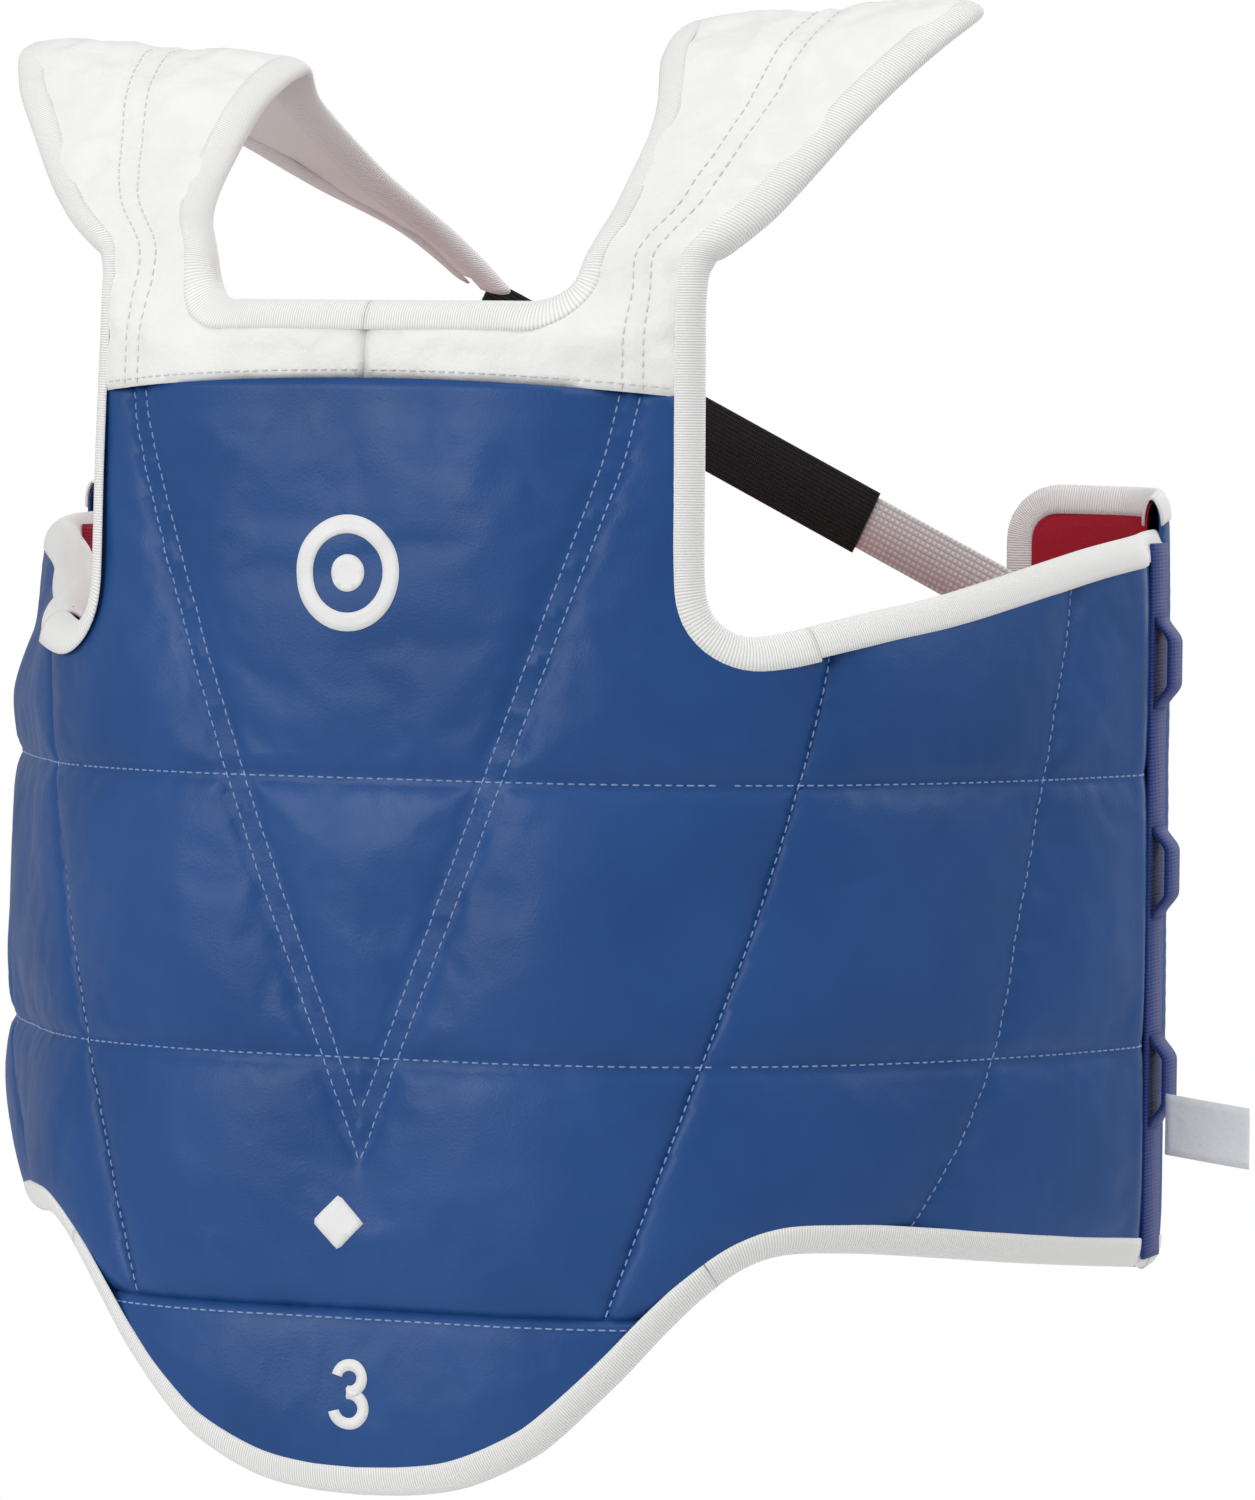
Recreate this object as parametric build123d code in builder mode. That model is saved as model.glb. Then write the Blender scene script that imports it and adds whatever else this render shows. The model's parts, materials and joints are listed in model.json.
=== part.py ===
from build123d import *
import os
from math import cos, sin, radians

# Martial-arts chest guard, worn on the front of the torso. Millimetres, +Z up, the front faces -Y
# and +X is the wearer's left. The origin is on the wearer's torso axis, level with the lower tip.

# Trunk section, seen from above: a flat front, a chest arc and a flatter side arc.
FRONT_Y = 165.0
FLAT_HALF = 50.0
CHEST_R = 185.0
CHEST_CY = CHEST_R - FRONT_Y
CHEST_TURN = 53.5
SIDE_R = 354.5
SIDE_TURN = 33.5
SIDE_CX = FLAT_HALF - (SIDE_R - CHEST_R) * sin(radians(CHEST_TURN))
SIDE_CY = CHEST_CY + (SIDE_R - CHEST_R) * cos(radians(CHEST_TURN))

# Sandwich: cover, foam core, lining.
PAD = 20.0
SKIN = 1.2
TAPE = 1.2
TAPE_WIDTH = 11.0
EDGE_GAP = 1.5

# Heights above the lower tip.
SEAM_Z = 79.5
YOKE_Z = 482.0
NECK_Z = 512.0
STRAP_Z = 530.0
NECK_HALF = 89.0
NECK_CORNER = 18.0
ARMHOLE_X = 148.0
ARMHOLE_CORNER = 20.0
ARMHOLE_CORNER_Z = 390.0
WING_TOP_SLOPE = 17.0
WING_TOP_RISE = 0.3057
BOTTOM_POINTS = ((182, 105), (152, 90.5), (118, 53), (88, 25), (46, 5), (0, 0))
MASK_SPLIT_Y = -60.0
MASK_SPLIT_X = 218.6
MASK_SPLIT_TOP = 384.6
MASK_SPLIT_LOW = 102.4
REAR_BOTTOM_Z = 88.0
REAR_TOP_Z = 414.0

# Lacing webbing and the flap behind it.
WEB_WIDTH = 26.0
WEB_THICK = 2.0
WEB_SINK = 0.5
FLAP_PAD = 12.0
FLAP_BEND = 20.0
FLAP_TURN = 88.0
FLAP_LENGTH = 62.0
FLAP_TOP_Z = 434.0
LOOP_Z = (357.0, 262.0, 171.0)
LOOP_HEIGHT = 38.0
LOOP_WIDTH = 20.0
LOOP_STAND = 9.0
LABEL_Z, LABEL_LENGTH, LABEL_HEIGHT = 155.0, 40.0, 27.0

# Hinge lines: wing quilt line, rear webbing line and lower ridge seam.
HINGE_PHI = (58.24, 75.6)
HINGE_Z = (105.0, 410.0)
HINGE_GAP = 0.3
WING_OPEN, WING_SHUT = 19.5, 10.0
FLAP_OPEN, FLAP_SHUT = 32.0, 8.0
SEAM_BACK = 9.0

# Shoulder straps: inner edge, outer edge and thickness at each station of the left one.
STRAP_STATIONS = (
    ((90, -160, 531), (150, -136, 531), 18),
    ((99, -124, 557), (174, -117, 558), 15),
    ((102, -94, 588), (199, -93, 590), 14),
    ((95, -70, 616), (222, -68, 620), 13),
    ((92, -42, 628), (231, -40, 637), 12),
    ((98, -12, 613), (158, -12, 606), 12),
    ((91, 27, 588), (130, 28, 584), 12),
    ((72, 63, 556), (104, 60, 562), 11),
    ((47, 82, 522), (76, 82, 535), 10),
)
ELASTIC_WIDTH, ELASTIC_THICK = 30.0, 1.6
TAB_WIDTH, TAB_THICK = 25.0, 2.2
ELASTIC_START = (58.0, 505.0)
ELASTIC_END = (-122.0, 96.0, 417.0)
TAB_END = (-241.8, 97.0, 362.0)
CROSSING_STEP = 5.0
BIG = 700.0


def on_side(phi, depth):
    """Point of the side arc at heading phi, in degrees, at a depth below the outer face."""
    reach = SIDE_R - depth
    return (SIDE_CX + reach * sin(radians(phi)), SIDE_CY - reach * cos(radians(phi)))


END_PHI = CHEST_TURN + SIDE_TURN
HEADING = Vector(cos(radians(END_PHI)), sin(radians(END_PHI)), 0)
INWARD = Vector(-sin(radians(END_PHI)), cos(radians(END_PHI)), 0)


def rear(along, depth):
    """Point past the rear end of the section: along the heading, at a depth below the face."""
    x, y = on_side(END_PHI, 0)
    return Vector(x, y, 0) + HEADING * along + INWARD * depth


def section_line(depth, extra):
    """Right half of the trunk section at a depth, from the centre front to past the rear end."""
    face = depth - FRONT_Y
    Line((0, face), (FLAT_HALF, face))
    CenterArc((FLAT_HALF, CHEST_CY), CHEST_R - depth, -90, CHEST_TURN)
    CenterArc((SIDE_CX, SIDE_CY), SIDE_R - depth, CHEST_TURN - 90, SIDE_TURN)
    if extra > 0:
        Line(rear(0, depth), rear(extra, depth))


def band(low, high, extra=0.0):
    """Tall wall that follows the trunk section between two depths below its outer face."""
    with BuildPart() as wall:
        with BuildSketch(Plane.XY.offset(-20)):
            with BuildLine():
                section_line(low, extra)
                Line(rear(extra, low), rear(extra, high))
                section_line(high, extra)
                mirror(about=Plane.YZ)
            make_face()
        extrude(amount=BIG)
    return wall.part


def inset_points(points, inset):
    """Points of an open outline moved inward, square to the line between their neighbours."""
    moved = []
    for i, (x, z) in enumerate(points):
        before, after = points[max(i - 1, 0)], points[min(i + 1, len(points) - 1)]
        run = Vector(after[0] - before[0], after[1] - before[1], 0).normalized()
        if i == len(points) - 1:
            run = Vector(-1, 0, 0)
        moved.append((x + run.Y * inset, z - run.X * inset))
    return moved


def front_outline(inset):
    """Right half of the outline seen from the front, run on past the places where it is trimmed."""
    top, armhole = 600, ARMHOLE_X - inset
    neck_centre = (NECK_HALF - NECK_CORNER, NECK_Z + NECK_CORNER)
    Line((0, NECK_Z - inset), (neck_centre[0], NECK_Z - inset))
    CenterArc(neck_centre, NECK_CORNER + inset, -90, 90)
    Polyline((NECK_HALF + inset, neck_centre[1]), (NECK_HALF + inset, top), (armhole + 16, top))
    Polyline((armhole + 16, top), (armhole, YOKE_Z), (armhole, ARMHOLE_CORNER_Z))
    corner = (ARMHOLE_X + ARMHOLE_CORNER, ARMHOLE_CORNER_Z)
    turn = 90 + WING_TOP_SLOPE
    CenterArc(corner, ARMHOLE_CORNER + inset, 180, turn)
    reach = ARMHOLE_CORNER + inset
    angle = radians(180 + turn)
    low = (corner[0] + reach * cos(angle), corner[1] + reach * sin(angle))
    high = low[1] + (MASK_SPLIT_X - low[0]) * WING_TOP_RISE
    bottom = inset_points(BOTTOM_POINTS, inset)
    base = MASK_SPLIT_LOW + inset
    Polyline(low, (MASK_SPLIT_X, high), (320, high), (320, base), (MASK_SPLIT_X, base), bottom[0])
    Spline(*bottom, tangents=[(-1, 0), (-1, 0)])


def trunk_mask(inset):
    """Prisms that trim the trunk wall to its outline: one from the front, one from the sides."""
    with BuildPart() as mask:
        with BuildSketch(Plane.XZ.offset(-MASK_SPLIT_Y)):
            with BuildLine():
                front_outline(inset)
                mirror(about=Plane.YZ)
            make_face()
            with Locations((0, STRAP_Z - 400)):
                Rectangle(BIG, 800, mode=Mode.INTERSECT)
        extrude(amount=140)
        with BuildSketch(Plane.YZ):
            with BuildLine():
                Polyline(
                    (MASK_SPLIT_Y, MASK_SPLIT_LOW + inset), (102.3, REAR_BOTTOM_Z + inset),
                    (300, 73.5 + inset), (300, 437.4 - inset), (102.3, REAR_TOP_Z - inset),
                    (8.3, 400 - inset), (MASK_SPLIT_Y, MASK_SPLIT_TOP - inset), close=True,
                )
            make_face()
        extrude(amount=300, both=True)
    return mask.part


def cut_plane(origin, axis, normal, tilt, gap, side=1):
    """Plane through a hinge axis, its normal tilted about the axis and stepped back by the gap."""
    turned = Vector(normal).rotate(Axis((0, 0, 0), axis), tilt)
    base = Vector(origin) + turned * gap
    if side > 0:
        return Plane(origin=base, z_dir=turned)
    flip = Vector(-1, 1, 1)
    return Plane(
        origin=(base.X * flip.X, base.Y, base.Z), z_dir=(turned.X * flip.X, turned.Y, turned.Z)
    )


WING_LOW = (*on_side(HINGE_PHI[0], PAD / 2), HINGE_Z[0])
WING_HIGH = (*on_side(HINGE_PHI[1], PAD / 2), HINGE_Z[1])
WING_AXIS = (Vector(WING_HIGH) - Vector(WING_LOW)).normalized()
WING_FACE = Vector(-sin(radians(67)), cos(radians(67)), 0)
WING_NORMAL = WING_FACE.cross(WING_AXIS).normalized()
FLAP_ORIGIN = rear(WEB_WIDTH + 2, PAD / 2)
FLAP_AXIS = Vector(0, 0, 1)


def wing_cuts(side, wing):
    """The two planes that shape a panel's end at the wing hinge, for the wing or the front."""
    sign = 1 if wing else -1
    normal = WING_NORMAL * sign
    opening = cut_plane(WING_LOW, WING_AXIS, normal, sign * WING_OPEN, HINGE_GAP, side)
    shutting = cut_plane(WING_LOW, WING_AXIS, normal, -sign * WING_SHUT, HINGE_GAP, side)
    return [opening, shutting]


def flap_cuts(side, flap):
    """The two planes that shape a panel's end at the rear webbing hinge."""
    sign = 1 if flap else -1
    normal = HEADING * sign
    opening = cut_plane(FLAP_ORIGIN, FLAP_AXIS, normal, sign * FLAP_OPEN, HINGE_GAP, side)
    shutting = cut_plane(FLAP_ORIGIN, FLAP_AXIS, normal, -sign * FLAP_SHUT, HINGE_GAP, side)
    return [opening, shutting]


SEAM_POINT = (0, -FRONT_Y + 0.6, SEAM_Z)
ABOVE_SEAM = Plane(origin=(0, 0, SEAM_Z + HINGE_GAP), z_dir=(0, 0, 1))
BELOW_SEAM = cut_plane(SEAM_POINT, (1, 0, 0), (0, 0, -1), -SEAM_BACK, HINGE_GAP)
BELOW_YOKE = Plane(origin=(0, 0, YOKE_Z), z_dir=(0, 0, -1))
ABOVE_YOKE = Plane(origin=(0, 0, YOKE_Z), z_dir=(0, 0, 1))


def beyond_x(x, side):
    """Everything further out than x on one side."""
    return Plane(origin=(side * x, 0, 0), z_dir=(side, 0, 0))


def within_x(x, side):
    """Everything nearer the middle than x on one side."""
    return Plane(origin=(side * x, 0, 0), z_dir=(-side, 0, 0))


def above_z(z):
    return Plane(origin=(0, 0, z), z_dir=(0, 0, 1))


def below_z(z):
    return Plane(origin=(0, 0, z), z_dir=(0, 0, -1))


made = {}


def keep(name, solid):
    """Label a finished piece and write it out."""
    solid.label = name
    made[name] = solid
    export_step(solid, f"parts/{name}.step")


def trimmed(name, solid, planes):
    """A piece cut from a solid by keeping what lies on the positive side of each plane."""
    with BuildPart() as piece:
        add(solid)
        for plane in planes:
            split(bisect_by=plane, keep=Keep.TOP)
    keep(name, piece.part)


def masked(solid, mask):
    with BuildPart() as cut:
        add(solid)
        add(mask, mode=Mode.INTERSECT)
    return cut.part


def joined(first, second):
    with BuildPart() as both:
        add(first)
        add(second)
    return both.part


def trunk():
    """Covers, cores, linings and edge tape of the front, the lower flap, the yoke and the wings."""
    inner = trunk_mask(EDGE_GAP)
    layers = {
        "cover": masked(band(0, SKIN), inner),
        "foam_core": masked(band(SKIN, PAD - SKIN), inner),
        "lining": masked(band(PAD - SKIN, PAD), inner),
    }
    front_ends = wing_cuts(1, False) + wing_cuts(-1, False)
    for layer, solid in layers.items():
        trimmed(f"front_{layer}", solid, front_ends + [ABOVE_SEAM, BELOW_YOKE])
        trimmed(f"lower_flap_{layer}", solid, front_ends + [BELOW_SEAM])
        for side, hand in SIDES:
            wing = solid
            if layer == "foam_core":
                wing = joined(solid, edge_core(side))
            trimmed(f"{hand}_wing_{layer}", wing, wing_cuts(side, True))
            if layer != "foam_core":
                halves = [within_x(300, side), beyond_x(0, side), ABOVE_YOKE]
                trimmed(f"{hand}_yoke_{layer}", solid, halves)
    trimmed("yoke_foam_core", layers["foam_core"], [ABOVE_YOKE])
    with BuildPart() as tape:
        add(band(-TAPE, PAD + TAPE, WEB_WIDTH))
        add(trunk_mask(0), mode=Mode.INTERSECT)
        add(trunk_mask(TAPE_WIDTH), mode=Mode.SUBTRACT)
        add(masked(band(0, PAD, WEB_WIDTH), inner), mode=Mode.SUBTRACT)
    loop = tape.part
    trimmed("lower_flap_binding", loop, [BELOW_SEAM] + front_ends)
    trimmed("neck_binding", loop, [above_z(490), within_x(116, 1), within_x(116, -1)])
    for side, hand in SIDES:
        ends = wing_cuts(side, False)
        trimmed(f"{hand}_armhole_binding", loop, ends + [above_z(250), beyond_x(116, side)])
        trimmed(f"{hand}_waist_binding", loop, ends + [ABOVE_SEAM, below_z(250), beyond_x(0, side)])
        trimmed(f"{hand}_wing_top_binding", loop, wing_cuts(side, True) + [above_z(250)])
        trimmed(f"{hand}_wing_bottom_binding", loop, wing_cuts(side, True) + [below_z(250)])


def lacing(side, hand):
    """Webbing strips with their three loops down the rear edge of a wing, outside and inside."""
    mid_z = (REAR_BOTTOM_Z + REAR_TOP_Z) / 2
    length = REAR_TOP_Z - REAR_BOTTOM_Z - 2 * TAPE_WIDTH
    for layer, depth, out in (("outer", WEB_SINK, -1), ("inner", PAD - WEB_SINK, 1)):
        face = rear(WEB_WIDTH / 2 + 0.2, depth)
        plane = Plane(origin=(face.X, face.Y, mid_z), x_dir=HEADING, z_dir=INWARD * out)
        with BuildPart() as strip:
            with BuildSketch(plane):
                Rectangle(WEB_WIDTH - 0.6, length)
            extrude(amount=-WEB_THICK)
            if side < 0:
                mirror(about=Plane.YZ, mode=Mode.REPLACE)
        keep(f"{hand}_{layer}_lacing_webbing", strip.part)
        with BuildPart() as loops:
            for z in LOOP_Z:
                base = face + Vector(0, 0, z) - HEADING * (LOOP_WIDTH / 2)
                profile = Plane(origin=base, x_dir=(0, 0, 1), z_dir=HEADING)
                up = 1 if out < 0 else -1
                with BuildSketch(profile):
                    with BuildLine():
                        loop_line(up)
                    make_face()
                extrude(amount=LOOP_WIDTH)
            if side < 0:
                mirror(about=Plane.YZ, mode=Mode.REPLACE)
        keep(f"{hand}_{layer}_lacing_loops", loops.part)


def loop_line(up):
    """Side view of one loop: sewn feet and a raised bridge, rising along +Y of its plane."""
    half, foot, stand = LOOP_HEIGHT / 2, 6.0, LOOP_STAND * up
    thick = WEB_THICK * up
    Polyline(
        (-half, 0), (-half + foot, 0), (-half + foot + 4, stand - thick),
        (half - foot - 4, stand - thick), (half - foot, 0), (half, 0), (half, thick),
        (half - foot + 1.5, thick), (half - foot - 2.5, stand), (-half + foot + 2.5, stand),
        (-half + foot - 1.5, thick), (-half, thick), close=True,
    )


def edge_core(side):
    """Thinner run of the wing's foam between the two webbing strips along its rear edge."""
    with BuildPart() as core:
        add(band(WEB_SINK + WEB_THICK, PAD - WEB_SINK - WEB_THICK, WEB_WIDTH + 12))
        add(trunk_mask(EDGE_GAP), mode=Mode.INTERSECT)
        for plane in [Plane(origin=rear(0, 0), z_dir=HEADING)] + flap_cuts(1, False):
            split(bisect_by=plane, keep=Keep.TOP)
        if side < 0:
            mirror(about=Plane.YZ, mode=Mode.REPLACE)
    return core.part


def flap_line(shift):
    """Flap section at a shift inward of its middle: straight start, tight bend, straight end."""
    start = rear(WEB_WIDTH - 6, PAD / 2 + shift)
    knee = rear(WEB_WIDTH + 4, PAD / 2 + shift)
    centre = rear(WEB_WIDTH + 4, PAD / 2 + FLAP_BEND)
    turned = HEADING.rotate(Axis.Z, FLAP_TURN)
    side_way = INWARD.rotate(Axis.Z, FLAP_TURN)
    bend_end = centre - side_way * (FLAP_BEND - shift)
    tip = bend_end + turned * FLAP_LENGTH
    Line(start, knee)
    CenterArc(centre, FLAP_BEND - shift, END_PHI - 90, FLAP_TURN)
    Line(bend_end, tip)
    return start, tip


def flap_wall(low, high, inset):
    """Flap wall between two shifts, trimmed to a rounded outline that is inset from its border."""
    tip_x = rear(0, 0).X - 78.0
    with BuildPart() as wall:
        with BuildSketch(Plane.XY):
            with BuildLine():
                start_low, tip_low = flap_line(low)
                start_high, tip_high = flap_line(high)
                Line(start_low, start_high)
                Line(tip_low, tip_high)
            make_face()
        extrude(amount=BIG)
        with BuildSketch(Plane.XZ.offset(-220)):
            with Locations(((tip_x + 400) / 2 + inset / 2, (FLAP_TOP_Z + REAR_BOTTOM_Z) / 2)):
                RectangleRounded(
                    400 - tip_x - inset, FLAP_TOP_Z - REAR_BOTTOM_Z - 2 * inset, 22 - inset
                )
        extrude(amount=200, mode=Mode.INTERSECT)
    return wall.part


def rear_flap(side, hand):
    """Padded flap that curls inward behind the lacing, with its edge tape."""
    half = FLAP_PAD / 2
    cuts = flap_cuts(1, True)
    layers = {
        "cover": (-half, -half + SKIN),
        "foam_core": (-half + SKIN, half - SKIN),
        "lining": (half - SKIN, half),
    }
    solids = {name: flap_wall(*span, EDGE_GAP) for name, span in layers.items()}
    with BuildPart() as tape:
        add(flap_wall(-half - TAPE, half + TAPE, 0))
        add(flap_wall(-half - 3, half + 3, TAPE_WIDTH), mode=Mode.SUBTRACT)
        add(flap_wall(-half, half, EDGE_GAP), mode=Mode.SUBTRACT)
    solids["binding"] = tape.part
    for layer, solid in solids.items():
        with BuildPart() as piece:
            add(solid)
            for plane in cuts:
                split(bisect_by=plane, keep=Keep.TOP)
            if side < 0:
                mirror(about=Plane.YZ, mode=Mode.REPLACE)
        keep(f"{hand}_rear_flap_{layer}", piece.part)


def strap_planes(side):
    """Section planes along a shoulder strap, each with its width and padding thickness."""
    ends = [(Vector(a), Vector(b)) for a, b, _ in STRAP_STATIONS]
    mids = [(a + b) * 0.5 for a, b in ends]
    planes = []
    for i, (inner, outer) in enumerate(ends):
        ahead = mids[min(i + 1, len(mids) - 1)] - mids[max(i - 1, 0)]
        if i == 0:
            ahead = Vector(0, 0, 1)
        across = outer - inner
        square = across.cross(ahead).cross(across)
        planes.append((mids[i], across, square, across.length, STRAP_STATIONS[i][2]))
    return planes


def strap_wall(low, high, trim, side):
    """Strap wall between two fractions of its thickness, narrowed by a trim on each edge."""
    with BuildPart() as wall:
        for mid, across, ahead, width, thick in strap_planes(side):
            shift = (low + high) / 2 * thick
            plane = Plane(origin=mid, x_dir=across, z_dir=ahead)
            with BuildSketch(plane):
                with Locations((0, shift)):
                    Rectangle(width - 2 * trim, (high - low) * thick)
        loft(ruled=True)
        if side < 0:
            mirror(about=Plane.YZ, mode=Mode.REPLACE)
    return wall.part


def shoulder(side, hand):
    """Padded strap from the yoke over the shoulder to its narrow tail behind the neck."""
    keep(f"{hand}_shoulder_cover", strap_wall(0, 0.08, EDGE_GAP, side))
    keep(f"{hand}_shoulder_foam_core", strap_wall(0.08, 0.92, EDGE_GAP, side))
    keep(f"{hand}_shoulder_lining", strap_wall(0.92, 1, EDGE_GAP, side))
    with BuildPart() as tape:
        add(strap_wall(-0.08, 1.08, 0, side))
        add(strap_wall(-0.4, 1.4, TAPE_WIDTH, side), mode=Mode.SUBTRACT)
        add(strap_wall(0, 1, EDGE_GAP, side), mode=Mode.SUBTRACT)
    keep(f"{hand}_shoulder_binding", tape.part)


def bar(start, end, width, thick, name):
    """Flat strap between two points, its width upright across its run."""
    run = Vector(end) - Vector(start)
    across = run.cross(Vector(0, 1, 0))
    with BuildPart() as strap:
        with BuildSketch(Plane(origin=start, x_dir=across, z_dir=run)):
            Rectangle(width, thick)
        extrude(amount=run.length)
    keep(name, strap.part)


def back_strap(side, hand, other):
    """Elastic from a strap tail, and the webbing tab that carries it on to the opposite wing."""
    step = CROSSING_STEP * (1 if side < 0 else -1) / 2
    start = Vector(side * ELASTIC_START[0], 90 + step, ELASTIC_START[1])
    end = Vector(side * ELASTIC_END[0], ELASTIC_END[1] + step, ELASTIC_END[2])
    stop = Vector(side * TAB_END[0], TAB_END[1] + step, TAB_END[2])
    bar(start, end, ELASTIC_WIDTH, ELASTIC_THICK, f"{hand}_elastic_strap")
    onward = (stop - end).normalized()
    bar(end + onward * 0.5, stop, TAB_WIDTH, TAB_THICK, f"{other}_strap_tab")


def prints():
    """Plain printed marks: a ring and a lozenge on the front, and the size number on the flap."""
    face = Plane.XZ.offset(FRONT_Y + 0.02)
    with BuildPart() as ring:
        with BuildSketch(face):
            with Locations((-5, 396)):
                Circle(25)
                Circle(17, mode=Mode.SUBTRACT)
                Circle(8)
        extrude(amount=0.3)
    keep("chest_emblem", ring.part)
    with BuildPart() as lozenge:
        with BuildSketch(face):
            with Locations(Location((-8, 117), 45)):
                Rectangle(17, 17)
        extrude(amount=0.3)
    keep("waist_emblem", lozenge.part)
    with BuildPart() as number:
        with BuildSketch(face):
            for z, outer in ((50.5, 8), (37.5, 9)):
                with Locations((-3, z)):
                    Circle(outer)
            for z, hollow in ((50.5, 3.6), (37.5, 4.4)):
                with Locations((-3, z)):
                    Circle(hollow, mode=Mode.SUBTRACT)
            with Locations((-10, 44)):
                Rectangle(14, 11, mode=Mode.SUBTRACT)
        extrude(amount=0.3)
    keep("size_number", number.part)


def label():
    """Folded care label that stands out from under the left lacing webbing."""
    root = rear(-0.9, -0.4)
    out = -INWARD
    with BuildPart() as tag:
        with BuildSketch(Plane(origin=(root.X, root.Y, LABEL_Z), x_dir=out, z_dir=HEADING)):
            with Locations((LABEL_LENGTH / 2, 0)):
                Rectangle(LABEL_LENGTH, LABEL_HEIGHT)
        extrude(amount=0.8)
    keep("care_label", tag.part)


SIDES = ((1, "left"), (-1, "right"))
os.makedirs("parts", exist_ok=True)
trunk()
for side, hand in SIDES:
    lacing(side, hand)
    rear_flap(side, hand)
    shoulder(side, hand)
    back_strap(side, hand, "right" if side > 0 else "left")
prints()
label()
print(len(made), "pieces")
print("wing hinge", WING_LOW, tuple(WING_AXIS))
print("flap hinge", tuple(FLAP_ORIGIN), "seam", SEAM_POINT)
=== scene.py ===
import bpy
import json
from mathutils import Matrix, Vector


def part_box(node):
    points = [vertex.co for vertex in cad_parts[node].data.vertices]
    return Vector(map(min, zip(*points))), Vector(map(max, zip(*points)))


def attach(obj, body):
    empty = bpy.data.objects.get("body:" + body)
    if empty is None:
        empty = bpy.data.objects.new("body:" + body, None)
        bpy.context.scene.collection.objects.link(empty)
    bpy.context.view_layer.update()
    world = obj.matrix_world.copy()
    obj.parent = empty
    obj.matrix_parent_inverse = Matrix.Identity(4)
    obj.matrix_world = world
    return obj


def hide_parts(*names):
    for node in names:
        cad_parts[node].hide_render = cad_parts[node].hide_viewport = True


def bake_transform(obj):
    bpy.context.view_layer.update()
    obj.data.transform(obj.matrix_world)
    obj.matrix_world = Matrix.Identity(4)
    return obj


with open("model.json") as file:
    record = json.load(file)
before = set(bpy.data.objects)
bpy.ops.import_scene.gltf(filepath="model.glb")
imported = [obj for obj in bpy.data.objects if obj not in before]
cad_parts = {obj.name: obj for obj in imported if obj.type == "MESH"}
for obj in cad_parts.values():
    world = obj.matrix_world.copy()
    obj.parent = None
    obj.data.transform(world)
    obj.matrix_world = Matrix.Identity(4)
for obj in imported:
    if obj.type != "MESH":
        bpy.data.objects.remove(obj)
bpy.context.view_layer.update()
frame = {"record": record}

import json
import math

import bpy
import numpy as np
from mathutils import Matrix, Vector, noise
from mathutils.geometry import delaunay_2d_cdt

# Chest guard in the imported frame. Shapes are worked out in millimetres on a pattern, a flat chart
# whose p runs round the body from the centre front and whose q runs up, and wrapped on the section.
MM = 0.001

# Section of the trunk, as in the CAD model.
FRONT_Y, FLAT_HALF = 165.0, 50.0
CHEST_R, CHEST_TURN = 185.0, math.radians(53.5)
SIDE_R, SIDE_TURN = 354.5, math.radians(33.5)
P_CHEST = FLAT_HALF + CHEST_R * CHEST_TURN
P_END = P_CHEST + SIDE_R * SIDE_TURN
END_PHI = CHEST_TURN + SIDE_TURN
PAD = 20.0
WEB_WIDTH = 26.0
LOOP_WIDTH, LOOP_PITCH, LOOP_STAND = 22.0, 93.0, 6.2
# Distance of the webbing's middle from the middle of the pinched pad.
WEB_LEVEL = 5.5
ELASTIC_WIDTH, TAB_WIDTH = 30.0, 25.0
P_KNEE = P_END + WEB_WIDTH + 4
FLAP_BEND, FLAP_TURN = 20.0, math.radians(88)
P_TIP = P_KNEE + FLAP_BEND * FLAP_TURN + 54

# Heights and pattern outlines.
SEAM_Q, YOKE_Q, NECK_Q, STRAP_Q = 79.5, 479.5, 512.0, 531.0
ARM_P, STRAP_P, STRAP_HALF = 153.3, 121.85, 31.45
TAPE_WIDTH, ARM_TAPE_WIDTH = 12.0, 13.5
WING_TOP = ((ARM_P, STRAP_Q), (ARM_P, 482), (ARM_P, 440), (ARM_P, 404), (154.7, 386), (160.3, 376.5),
            (169.3, 371.2), (178, 370), (192, 371.8), (214, 376.5), (240, 381.5), (270, 386.5),
            (334, 399.5), (380, 407.5), (P_END, 413.5), (P_END + 30, 415))
WING_BOTTOM = ((0, 0), (24, 1.2), (46, 5), (68, 13.5), (88.3, 25), (119.6, 53), (140, 74), (158, 90.5),
               (176, 102.5), (195, 108), (225, 108), (258, 105.5), (334, 98), (P_END, 89.5),
               (P_END + 30, 87))
FIRST_LINE = ((214, 376.5), (206, 340), (197, 308), (178, 248), (155, 188), (136, 138), (114, SEAM_Q))
SECOND_LINE = ((360, 404), (353, 372), (334, 308), (318, 248), (303, 188), (279, 145), (246, 103))
OUTER_V = ((125.6, YOKE_Q - 6), (117, 440), (66, 308), (0, 143))
INNER_V = ((116.8, YOKE_Q - 5), (108, 440), (57, 308), (0, 163))
CROSS_SEAMS = (308.0, 188.0)
FLAP_TOP_Q, FLAP_LOW_Q, FLAP_CORNER = 434.0, 88.0, 24.0

# Shoulder strap of the left side: inner edge, outer edge and thickness at each station.
STRAP_STATIONS = (
    ((99, -124, 557), (174, -117, 558), 15),
    ((102, -94, 588), (199, -93, 590), 13),
    ((95, -70, 616), (222, -68, 620), 12),
    ((92, -42, 628), (231, -40, 637), 11),
    ((98, -12, 613), (158, -12, 606), 11),
    ((91, 27, 588), (130, 28, 584), 11),
    ((72, 63, 556), (104, 60, 562), 10),
    ((47, 82, 522), (76, 82, 535), 9),
)
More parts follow.
